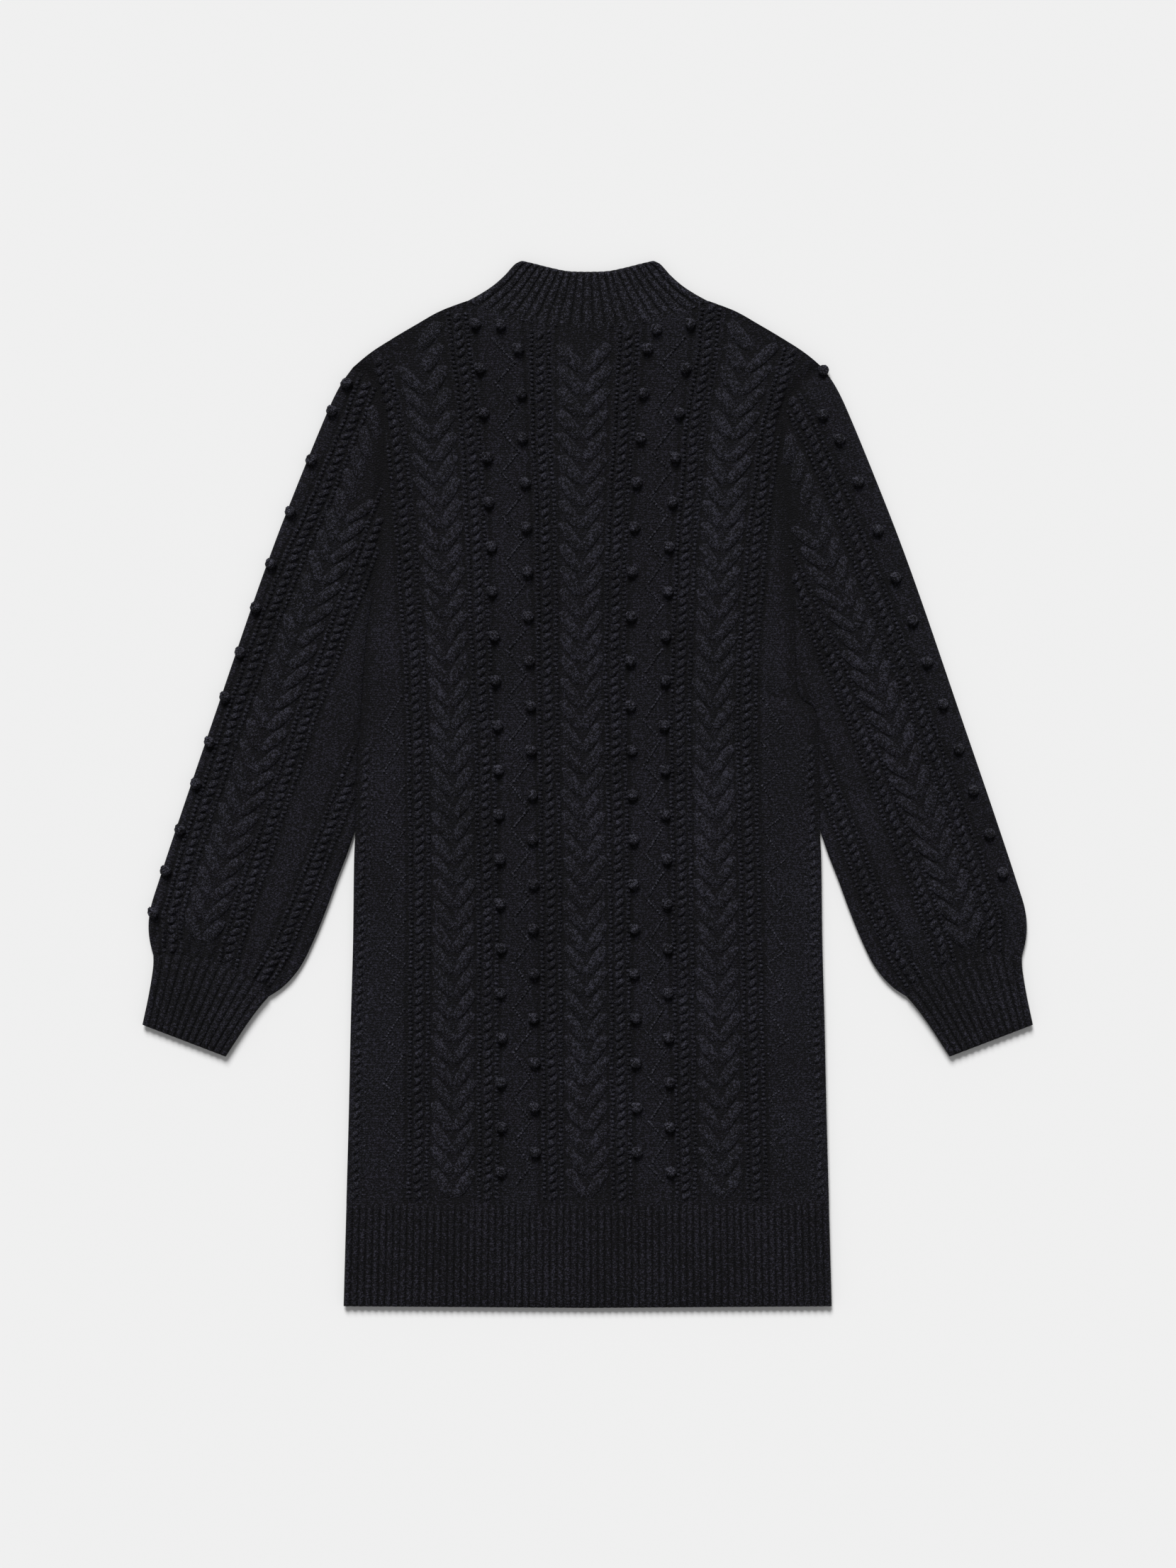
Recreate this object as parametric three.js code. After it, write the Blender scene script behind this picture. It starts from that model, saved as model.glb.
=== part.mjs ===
// Long-sleeved knitted dress with rope cables, chevron cables and bobbles, laid flat with its front up.
// Millimetres. X runs across the front to the right, Y from the hem up to the collar, Z up from the surface.
// Origin: on the surface, at the middle of the dress's outline.

import * as THREE from 'three';

// Layers, as heights above the surface
const WALL = 2.8; // one thickness of knitted cloth
const SLIT = 0.4; // air between the lower and the upper layer
const CEILING = WALL + SLIT; // inside of the upper layer
const FACE = CEILING + WALL; // plain outside of the upper layer
const SEAM_FACE = FACE - 1.6; // the cloth dips where it is sewn
const FRONT_EDGE = CEILING + 0.7; // the front thins out along its side edges
const FOLD = CEILING; // height of the outermost line of a folded tube
const UNDER_TURN = 1.6; // how far the underside stays back from an edge
const TUBE_WALL = 4; // cloth between a fold's outermost line and the slit
const SEAM_GAP = 0.3; // between two pieces that are sewn together

// Raised knitting, above or below the plain face
const ROPE_RISE = 2.2;
const CORD_RISE = 1.0;
const GROOVE_RISE = -0.4;
const ARM_RISE_MIDDLE = 2.6;
const ARM_RISE_SIDE = 1.5;
const RIB_RISE = 0.7;
const RIB_FALL = -0.7;

// Widths and pitches of the raised knitting
const CORD_OUT = 7.5; // rope's middle to a cord's middle
const GROOVE_OUT = 4.6;
const CHEVRON_PITCH = 18.85; // one chevron below the other
const CHEVRON_HALF = 18.2;
const BOBBLE_PITCH = 2 * CHEVRON_PITCH;
const MIDDLE_ROOM = 1; // outline points nearer the middle line than this are left out
const PLAIN_STEP = BOBBLE_PITCH; // rows of points down a line with no relief of its own
const SOFT_EDGE = 4; // the cloth reaches its full height this far inside a seam
const STRAIGHT = 0.04; // an outline's point that lies this near the line between its neighbours is left out
const LONGEST_CHORD = 60;

// One bobble: neck, widest part and top, as radius and height
const BOBBLE = { neck: 3.2, widest: 4.7, widestAt: 3.2, crown: 3.0, crownAt: 5.4, top: 6.3, sides: 6 };
const BOBBLE_CELL = 4.7; // half the length of the patch that carries a bobble
const BOBBLE_LEAN = -2.2; // every bobble flops to the left

// Levels of the front, as Y
const HEM_RIB_TOP = -354.4;
const HEM_SEAM = [
  { x: 0, y: -356.4 },
  { x: 204, y: -354.4 },
];
const HEM_EDGE = [
  { x: 0, y: -442.6 },
  { x: 206.4, y: -441.2 },
];

// Rib counts, crests across the upper layer
const HEM_RIBS = 71;
const HEM_PARTS = 8; // straight stretches in the hem's seam and edge
const COLLAR_RIBS = 20;
const CUFF_RIBS = 14;

// Colours of the wool and of its finer ribs
const WOOL = { color: 0x1b1a20, roughness: 0.95, metalness: 0 };
const RIB_WOOL = { color: 0x19181d, roughness: 0.95, metalness: 0 };

// Neck and shoulders, half tables: distance from the middle and Y
const NECK_SEAM = [
  { x: 0, y: 385.4 },
  { x: 22, y: 386.6 },
  { x: 38, y: 388.4 },
  { x: 54, y: 391.4 },
  { x: 73, y: 396.4 },
  { x: 88, y: 401.6 },
  { x: 102, y: 408.5 },
];
const BACK_NECK = [
  { x: 0, y: 399 },
  { x: 40, y: 400.4 },
  { x: 75, y: 404 },
  { x: 102, y: 408.5 },
];
const SHOULDER = [
  { x: 102, y: 408.5 },
  { x: 125, y: 399.7 },
  { x: 145, y: 388.4 },
  { x: 165, y: 376.6 },
  { x: 183, y: 365 },
  { x: 198.6, y: 352.4 },
];
const COLLAR_TOP = [
  { x: 0, y: 433.2 },
  { x: 17, y: 433.8 },
  { x: 31, y: 436.6 },
  { x: 47, y: 440.6 },
  { x: 56, y: 442.6 },
];
const COLLAR_SIDE = [
  { x: 102, y: 408.5 },
  { x: 91, y: 414.5 },
  { x: 80, y: 421.7 },
  { x: 69, y: 431.5 },
  { x: 61.5, y: 440 },
  { x: 56, y: 442.6 },
];

// Where the body meets each sleeve, then its free side: distance from the middle and Y.
// The left side's armhole ends at the underarm; lower down the sleeve lies against the body.
const BODY_SIDE = {
  left: [
    { x: 198.6, y: 352.4 },
    { x: 185.4, y: 345.8 },
    { x: 177.6, y: 335 },
    { x: 173.4, y: 321.8 },
    { x: 172.2, y: 303.8 },
    { x: 173.0, y: 279.8 },
    { x: 173.2, y: 258.8 },
    { x: 173.0, y: 232.4 },
    { x: 175.6, y: 197.6 },
    { x: 181.2, y: 162.2 },
    { x: 185.6, y: 135 },
    { x: 189.6, y: 92 },
    { x: 192.0, y: 50 },
    { x: 194.6, y: 21.2 },
    { x: 195.6, y: -7.6 },
    { x: 196.4, y: -38.2 },
    { x: 197.4, y: -61 },
    { x: 198.4, y: -134 },
    { x: 200.4, y: -206 },
    { x: 201.8, y: -272 },
    { x: 204, y: -354.4 },
  ],
  // The right side is tucked under at the underarm and comes out in one step below it.
  right: [
    { x: 198.6, y: 352.4 },
    { x: 186.4, y: 345 },
    { x: 176.4, y: 335 },
    { x: 168.8, y: 324 },
    { x: 165.2, y: 310 },
    { x: 164.6, y: 294 },
    { x: 165.2, y: 274 },
    { x: 166.4, y: 250 },
    { x: 168.6, y: 222 },
    { x: 171.0, y: 192 },
    { x: 173.0, y: 162.2 },
    { x: 175.2, y: 130 },
    { x: 176.0, y: 98 },
    { x: 178.6, y: 74 },
    { x: 191.6, y: 64 },
    { x: 194.6, y: 43 },
    { x: 195.4, y: 12 },
    { x: 196.4, y: -38.2 },
    { x: 197.4, y: -61 },
    { x: 198.4, y: -134 },
    { x: 200.4, y: -206 },
    { x: 201.8, y: -272 },
    { x: 204, y: -354.4 },
  ],
};
const UNDERARM_Y = 162.2;
const PARTING_Y = -38.2; // below this the sleeve swings clear of the body
const TUCK = { y: 73, from: 150, dip: 1.4, half: 6 };

// The sleeve's free inner edge below the parting: distance from the middle and Y
const SLEEVE_INNER = [
  { x: 202.6, y: -57 },
  { x: 211.6, y: -80.2 },
  { x: 220.4, y: -104.2 },
  { x: 230, y: -128.2 },
  { x: 241.6, y: -152.2 },
  { x: 250.6, y: -164.4 },
  { x: 260.4, y: -173.6 },
  { x: 269.4, y: -179.2 },
];

// The front's knitted lines: how far the ropes lie from the middle line at each height
const FRONT_LINES = [
  { y: 410, middle: -3, rope1: 38, rope2: 108, rope3: 186 },
  { y: 364, middle: -3, rope1: 37, rope2: 104, rope3: 176 },
  { y: 334, middle: -3.6, rope1: 36, rope2: 99, rope3: 167 },
  { y: 304, middle: -4.4, rope1: 35, rope2: 95, rope3: 159.6 },
  { y: 244, middle: -4.8, rope1: 31.4, rope2: 91, rope3: 151.8 },
  { y: 196, middle: -5.4, rope1: 29.6, rope2: 88, rope3: 147.6 },
  { y: 94, middle: -5.6, rope1: 28.2, rope2: 84.2, rope3: 140 },
  { y: 34, middle: -4.5, rope1: 28.6, rope2: 82.5, rope3: 138.9 },
  { y: -86, middle: -2.4, rope1: 28.8, rope2: 82.2, rope3: 139.4 },
  { y: -326, middle: -0.4, rope1: 29.2, rope2: 83.7, rope3: 143 },
  { y: -360, middle: -0.2, rope1: 29.2, rope2: 83.8, rope3: 143.6 },
];
const ROPE_AT = { rope1: 28.8, rope2: 82, rope3: 139.5 };
const FRONT_BOBBLES = [
  { at: 42.5, half: 4.4, first: 368.3, besideNeck: 380.4 },
  { at: 69.8, half: 3.7, first: 390.8 },
];
const CHEVRON_START = 412; // Y of a chevron row just above the shoulders

// The sleeve's own measure: down from the shoulder tip and across towards the body
const SLEEVE_TILT = 18.5 * Math.PI / 180;
const SHOULDER_TIP = { x: 198.6, y: 352.4 };
const SLEEVE_OUTER = [
  { down: 0, across: 0 },
  { down: 14, across: -4.4 },
  { down: 28, across: -7 },
  { down: 54, across: -9.4 },
  { down: 106, across: -12.8 },
  { down: 157, across: -15.4 },
  { down: 215, across: -16.8 },
  { down: 310, across: -17.4 },
  { down: 405, across: -18 },
  { down: 462, across: -17.8 },
  { down: 489, across: -17 },
  { down: 505, across: -13.2 },
  { down: 516, across: -8 },
  { down: 525, across: -2.2 },
];
const CUFF_SEAM = [
  { down: 525, across: -2.2 },
  { down: 516.6, across: 22 },
  { down: 513.6, across: 46 },
  { down: 516.6, across: 73 },
  { down: 526.8, across: 101.4 },
];
// Knitted lines of the sleeves: across positions at each distance down
const SLEEVE_LINES = [
  { down: 0, outL: 16, inL: 70, outR: 36, inR: 92, under: 112 },
  { down: 60, outL: 13.5, inL: 65, outR: 27, inR: 88, under: 112 },
  { down: 100, outL: 11, inL: 63, outR: 22.5, inR: 84, under: 112 },
  { down: 160, outL: 5, inL: 61, outR: 19.5, inR: 79, under: 112 },
  { down: 220, outL: 1, inL: 58.5, outR: 17, inR: 72.5, under: 112 },
  { down: 290, outL: -0.5, inL: 56.5, outR: 15, inR: 67, under: 111 },
  { down: 370, outL: -0.5, inL: 57, outR: 13.5, inR: 64.5, under: 106 },
  { down: 440, outL: 0, inL: 57, outR: 12, inR: 61, under: 102.5 },
  { down: 490, outL: 3, inL: 57.5, outR: 13, inR: 60, under: 98 },
  { down: 528, outL: 16, inL: 61, outR: 27, inR: 62, under: 88 },
];
const SLEEVE_BOBBLES = {
  left: [14, 40, 85, 132, 179, 218, 258, 298, 338, 375, 416, 453, 490],
  right: [23, 62, 101, 145, 188, 227, 264, 302, 342, 379, 418, 453],
};
const GATHER = { rise: 0.8, pitch: 13, from: 480 };

// Cuff: its two sides and lower edge, down and across from the shoulder tip
const CUFF_OUTER = [
  { down: 525, across: -2.2 },
  { down: 533, across: 0.4 },
  { down: 556, across: 4.4 },
  { down: 583.4, across: 7.6 },
];
const CUFF_INNER = [
  { down: 526.8, across: 101.4 },
  { down: 538, across: 96.8 },
  { down: 556, across: 91 },
  { down: 586.6, across: 83 },
];

// Value at a position in a table, straight between its rows
function lookUp(table, key, at, name) {
  const rising = table[1][key] > table[0][key];
  let i = 0;
  while (i < table.length - 2 && (rising ? at > table[i + 1][key] : at < table[i + 1][key])) i += 1;
  const share = (at - table[i][key]) / (table[i + 1][key] - table[i][key]);
  return table[i][name] + (table[i + 1][name] - table[i][name]) * share;
}

// Even points along a smooth line through a table of points, without those on a straight stretch
function smoothLine(points, count) {
  const bends = points.map((p) => new THREE.Vector3(p.x, p.y, 0));
  const curve = new THREE.CatmullRomCurve3(bends, false, 'centripetal');
  const even = curve.getSpacedPoints(count).map((p) => ({ x: p.x, y: p.y }));
  const kept = [even[0]];
  for (let i = 1; i < even.length - 1; i += 1) {
    const chord = [kept[kept.length - 1], even[i + 1]];
    if (distanceToLine(even[i], chord) > STRAIGHT || lineLength(chord) > LONGEST_CHORD) kept.push(even[i]);
  }
  kept.push(even[even.length - 1]);
  return kept;
}

// Height of a line that runs across the dress
function heightAt(line, x) {
  const i = Math.max(1, line.findIndex((p) => p.x >= x));
  const share = (x - line[i - 1].x) / (line[i].x - line[i - 1].x);
  return line[i - 1].y + (line[i].y - line[i - 1].y) * share;
}

// A half table made whole, from its left end to its right end
function bothHalves(half) {
  const left = half.slice(1).reverse().map((p) => ({ x: -p.x, y: p.y }));
  return [...left, ...half];
}

// The same line moved to its left-hand side
function moved(line, distance) {
  return line.map((p, i) => {
    const before = line[Math.max(i - 1, 0)];
    const after = line[Math.min(i + 1, line.length - 1)];
    const length = Math.hypot(after.x - before.x, after.y - before.y);
    const x = p.x - (after.y - before.y) / length * distance;
    const y = p.y + (after.x - before.x) / length * distance;
    return { ...p, x, y };
  });
}

function mirrorLine(line) {
  return line.map((p) => ({ ...p, x: -p.x }));
}

// Point at a distance from the start of a line
function pointAt(line, distance) {
  let left = distance;
  for (let i = 0; i < line.length - 1; i += 1) {
    const length = Math.hypot(line[i + 1].x - line[i].x, line[i + 1].y - line[i].y);
    if (left <= length || i === line.length - 2) {
      const share = left / length;
      const x = line[i].x + (line[i + 1].x - line[i].x) * share;
      const y = line[i].y + (line[i + 1].y - line[i].y) * share;
      return { x, y };
    }
    left -= length;
  }
  return line[0];
}

function lineLength(line) {
  let total = 0;
  for (let i = 1; i < line.length; i += 1) {
    total += Math.hypot(line[i].x - line[i - 1].x, line[i].y - line[i - 1].y);
  }
  return total;
}

// Each point's level is its distance along the line
function measured(line) {
  let total = 0;
  return line.map((p, i) => {
    if (i > 0) total += Math.hypot(p.x - line[i - 1].x, p.y - line[i - 1].y);
    return { ...p, level: total };
  });
}

// The point of a line that lies nearest to another point
function nearestOn(line, p) {
  let nearest = { apart: Infinity };
  for (let i = 0; i < line.length - 1; i += 1) {
    const a = line[i];
    const b = line[i + 1];
    const dx = b.x - a.x;
    const dy = b.y - a.y;
    const share = ((p.x - a.x) * dx + (p.y - a.y) * dy) / (dx * dx + dy * dy);
    const t = Math.min(1, Math.max(0, share));
    const apart = Math.hypot(p.x - a.x - dx * t, p.y - a.y - dy * t);
    const z = a.z + (b.z - a.z) * t;
    if (apart < nearest.apart) nearest = { x: a.x + dx * t, y: a.y + dy * t, z, apart, after: i };
  }
  return nearest;
}

function distanceToLine(p, line) {
  return nearestOn(line, p).apart;
}

// A closed body of cloth, gathered from points and faces
class Cloth {
  constructor() {
    this.points = [];
    this.faces = [];
    this.mirrored = false;
  }

  point(p, z) {
    this.points.push(p.x, p.y, z);
    return { x: p.x, y: p.y, z, spot: this.points.length / 3 - 1 };
  }

  face(a, b, c) {
    if (a.spot === b.spot || b.spot === c.spot || c.spot === a.spot) return;
    if (this.mirrored) this.faces.push(a.spot, c.spot, b.spot);
    else this.faces.push(a.spot, b.spot, c.spot);
  }

  // Faces between two lines that run the same way, matched by level
  zip(left, right) {
    let i = 0;
    let j = 0;
    while (i < left.length - 1 || j < right.length - 1) {
      const leftNext = i < left.length - 1 ? left[i + 1].level : Infinity;
      const rightNext = j < right.length - 1 ? right[j + 1].level : Infinity;
      if (leftNext <= rightNext) {
        this.face(left[i], left[i + 1], right[j]);
        i += 1;
      } else {
        this.face(left[i], right[j + 1], right[j]);
        j += 1;
      }
    }
  }

  // Faces between two knitted lines whose ends lie on the cloth's edges
  strip(left, upperEdge, right, lowerEdge) {
    let a = left;
    const b = [...upperEdge, ...right];
    if (upperEdge.length > 0) {
      this.face(left[0], left[1], b[0]);
      a = left.slice(1);
    }
    if (lowerEdge.length === 0) {
      this.zip(a, b);
      return;
    }
    const knee = a[a.length - 2];
    this.zip(a.slice(0, -1), b);
    let last = a[a.length - 1];
    for (const next of [...lowerEdge, b[b.length - 1]]) {
      this.face(knee, last, next);
      last = next;
    }
  }

  // A ring of faces between a closed line and one inside it
  ring(outer, inner) {
    const around = (loop) => [...loop, loop[0]].map((p, i) => ({ ...p, level: i / loop.length }));
    this.zip(around(outer), around(inner));
  }

  flat(loop, up) {
    const contour = loop.map((p) => new THREE.Vector2(p.x, p.y));
    for (const [a, b, c] of THREE.ShapeUtils.triangulateShape(contour, [])) {
      if (up) this.face(loop[a], loop[b], loop[c]);
      else this.face(loop[a], loop[c], loop[b]);
    }
  }

  // A bobble in place of the patch between two neighbouring points of two lines
  bobble(corners, lean) {
    const at = corners.map((p) => new THREE.Vector3(p.x, p.y, p.z));
    const [upLeft, lowLeft, lowRight, upRight] = at;
    const middle = new THREE.Vector3();
    for (const p of at) middle.addScaledVector(p, 0.25);
    const across = upRight.clone().add(lowRight).sub(upLeft).sub(lowLeft).normalize();
    const up = upLeft.clone().add(upRight).sub(lowLeft).sub(lowRight);
    up.addScaledVector(across, -up.dot(across)).normalize();
    const out = across.clone().cross(up).multiplyScalar(this.mirrored ? -1 : 1);
    const round = (radius, height) => {
      const loop = [];
      for (let k = 0; k < BOBBLE.sides; k += 1) {
        const angle = 0.75 * Math.PI + k * 2 * Math.PI / BOBBLE.sides;
        const p = middle.clone();
        p.addScaledVector(across, Math.cos(angle) * radius);
        p.addScaledVector(up, Math.sin(angle) * radius);
        p.addScaledVector(out, height);
        p.x += lean * height / BOBBLE.top;
        loop.push(this.point(p, p.z));
      }
      return loop;
    };
    const neck = round(BOBBLE.neck, 0);
    const widest = round(BOBBLE.widest, BOBBLE.widestAt);
    const crown = round(BOBBLE.crown, BOBBLE.crownAt);
    const peak = middle.clone().addScaledVector(out, BOBBLE.top);
    peak.x += lean;
    const top = this.point(peak, peak.z);
    this.ring(corners, neck);
    this.ring(neck, widest);
    this.ring(widest, crown);
    crown.forEach((p, k) => this.face(p, crown[(k + 1) % crown.length], top));
  }

  mesh(name, look, mirror) {
    const sign = mirror ? -1 : 1;
    const places = this.points.map((value, i) => (i % 3 === 0 ? value * sign : value));
    const order = [];
    for (let i = 0; i < this.faces.length; i += 3) {
      const [a, b, c] = this.faces.slice(i, i + 3);
      if (mirror) order.push(a, c, b);
      else order.push(a, b, c);
    }
    const geometry = new THREE.BufferGeometry();
    geometry.setAttribute('position', new THREE.Float32BufferAttribute(places, 3));
    geometry.setIndex(order);
    geometry.computeVertexNormals();
    const mesh = new THREE.Mesh(geometry, new THREE.MeshStandardMaterial(look));
    mesh.name = name;
    return mesh;
  }
}

// Rows of one knitted line: level and rise above the plain face
function evenRows(from, to, step, rise) {
  const rows = [];
  for (let level = from; level < to; level += step) rows.push({ level, rise });
  return rows;
}

function chevronRows(from, to, high) {
  const rows = [];
  for (let k = 0; from + k * CHEVRON_PITCH / 2 < to; k += 1) {
    rows.push({ level: from + k * CHEVRON_PITCH / 2, rise: k % 2 === 0 ? high : 0 });
  }
  return rows;
}

function bobbleRows(centres) {
  const rows = [];
  for (const level of centres) {
    rows.push({ level: level - BOBBLE_CELL, rise: 0, bobble: true });
    rows.push({ level: level + BOBBLE_CELL, rise: 0 });
  }
  return rows;
}

// The five lines of a rope with a cord on either side, measured from the rope
function ropeLines(place, rows) {
  const parts = [
    { out: -CORD_OUT, rise: CORD_RISE },
    { out: -GROOVE_OUT, rise: GROOVE_RISE },
    { out: 0, rise: ROPE_RISE },
    { out: GROOVE_OUT, rise: GROOVE_RISE },
    { out: CORD_OUT, rise: CORD_RISE },
  ];
  return parts.map(({ out, rise }) => ({ across: place(out), rows: rows(rise) }));
}

// A chevron cable: its two sides, and its middle where each arm ends lower by one pitch
function chevronLines(sides, middle, rows) {
  const side = { rows: rows(0, ARM_RISE_SIDE) };
  const centre = { across: middle, rows: rows(CHEVRON_PITCH, ARM_RISE_MIDDLE), lag: CHEVRON_PITCH };
  if (sides.length === 1) return [centre, { ...side, across: sides[0] }];
  return [{ ...side, across: sides[0] }, centre, { ...side, across: sides[1] }];
}

// Hangs knitted lines between the cloth's upper edge and its lower edge and fills the strips between them.
// Returns the points along both edges and along the first line.
function knit(cloth, panel, lines) {
  const { edge, low, local, place, dip } = panel;
  const crossing = (border, line) => {
    let found = null;
    for (let i = 0; i < border.length - 1; i += 1) {
      const a = local(border[i]);
      const b = local(border[i + 1]);
      const before = a.across - line.across(a.level);
      const after = b.across - line.across(b.level);
      if (before < 0 && after >= 0) found = { i, share: before / (before - after) };
    }
    if (found === null) return { ...border[0], after: 0 };
    const a = border[found.i];
    const b = border[found.i + 1];
    const blend = (name) => a[name] + (b[name] - a[name]) * found.share;
    return { x: blend('x'), y: blend('y'), z: blend('z'), after: found.i };
  };
  // Level below which a line stays clear of the upper edge
  const clearFrom = (line, stop) => {
    let level = stop;
    const clear = line.clear ?? SOFT_EDGE;
    const outside = (at) => {
      const p = place(at, line.across(at));
      const near = nearestOn(edge, p);
      const beyond = local(near).across < line.across(at) && local(near).level > at - near.apart * 0.7;
      return near.apart < clear || (beyond && at < local(edge[edge.length - 1]).level) || at < panel.top;
    };
    while (!outside(level - 1)) level -= 1;
    return level;
  };
  const apart = (p, q) => Math.hypot(p.x - q.x, p.y - q.y) > 0.6;
  const onBorder = (p) => ({ ...cloth.point(p, p.z), level: local(p).level });
  const between = (border, from, to, ends) => {
    const middle = border.slice(from + 1, to + 1);
    return middle.filter((p) => ends.every((q) => apart(p, q))).map(onBorder);
  };

  const upperEdge = [];
  const lowerEdge = [];
  let last = null;
  let firstLine = null;
  for (const line of lines) {
    if (last === null && panel.shared) {
      const { own, start, end } = panel.shared;
      last = { own, start: { ...start, after: 0 }, end: { ...end, after: 0 } };
      firstLine = last;
      upperEdge.push(own[0]);
      lowerEdge.push(own[own.length - 1]);
      continue;
    }
    const end = last === null ? { ...low[0], after: 0 } : crossing(low, line);
    const lag = line.lag ?? 0;
    const stop = local(end).level - SOFT_EDGE;
    const level = last === null ? local(edge[0]).level + SOFT_EDGE : clearFrom(line, stop);
    if (level >= stop) continue;
    const start = last === null ? { ...edge[0], after: 0 } : nearestOn(edge, place(level, line.across(level)));
    const first = onBorder(start);
    const bottom = onBorder(end);
    const put = (at, rise) => {
      const p = place(at, line.across(at));
      return { ...cloth.point(p, FACE + rise - dip(p, at)), level: at - lag };
    };
    const own = [{ ...first, level: first.level - lag }];
    if (line.fold) {
      for (const row of line.rows.filter((r) => r.level > local(start).level + 3 && r.level < stop)) {
        const p = place(row.level, line.across(row.level));
        own.push({ ...cloth.point(p, FOLD), level: row.level, bobble: row.bobble });
      }
    } else {
      const inside = line.rows.filter((r) => r.level > level + 2 && r.level < stop - 2);
      const whole = inside.length > 0 && !inside[0].bobble && line.cells ? inside.slice(1) : inside;
      const edgeRise = line.rows[0].bobble ? 0 : Math.min(line.rows[0].rise, 1);
      own.push(put(level, edgeRise));
      for (const row of whole) own.push({ ...put(row.level, row.rise), bobble: row.bobble });
      own.push(put(stop, edgeRise));
    }
    own.push({ ...bottom, level: bottom.level - lag });
    if (last === null) {
      firstLine = { own, start, end };
      upperEdge.push(first);
      lowerEdge.push(bottom);
    } else {
      const above = between(edge, last.start.after, start.after, [last.start, start]);
      const below = between(low, last.end.after, end.after, [last.end, end]);
      if (line.carriesBobbles) stripWithBobbles(cloth, last.own, above, own, below, panel.lean);
      else cloth.strip(last.own, above, own, below);
      upperEdge.push(...above, first);
      lowerEdge.push(...below, bottom);
    }
    last = { own, start, end };
  }

  const rest = between(edge, last.start.after, edge.length - 1, [last.start]);
  const corner = rest[rest.length - 1];
  const below = between(low, last.end.after, low.length - 2, [last.end, corner]);
  cloth.strip(last.own, rest.slice(0, -1), [corner], below);
  upperEdge.push(...rest);
  lowerEdge.push(...below, corner);
  return { upperEdge, lowerEdge, firstLine };
}

// A strip whose bobble patches are raised and whose other faces are plain
function stripWithBobbles(cloth, left, above, right, below, lean) {
  const cells = [];
  for (let i = 0; i < left.length - 1; i += 1) {
    const j = right.findIndex((p) => p.bobble && Math.abs(p.level - left[i].level) < 0.01);
    if (left[i].bobble && j > 0) cells.push({ i, j });
  }
  let from = { i: 0, j: 0, above };
  for (const { i, j } of cells) {
    const upper = left.slice(from.i, i + 1);
    cloth.strip(upper, from.above, right.slice(from.j, j + 1), []);
    cloth.bobble([left[i], left[i + 1], right[j + 1], right[j]], lean);
    from = { i: i + 1, j: j + 1, above: [] };
  }
  cloth.strip(left.slice(from.i), from.above, right.slice(from.j), below);
}

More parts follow.
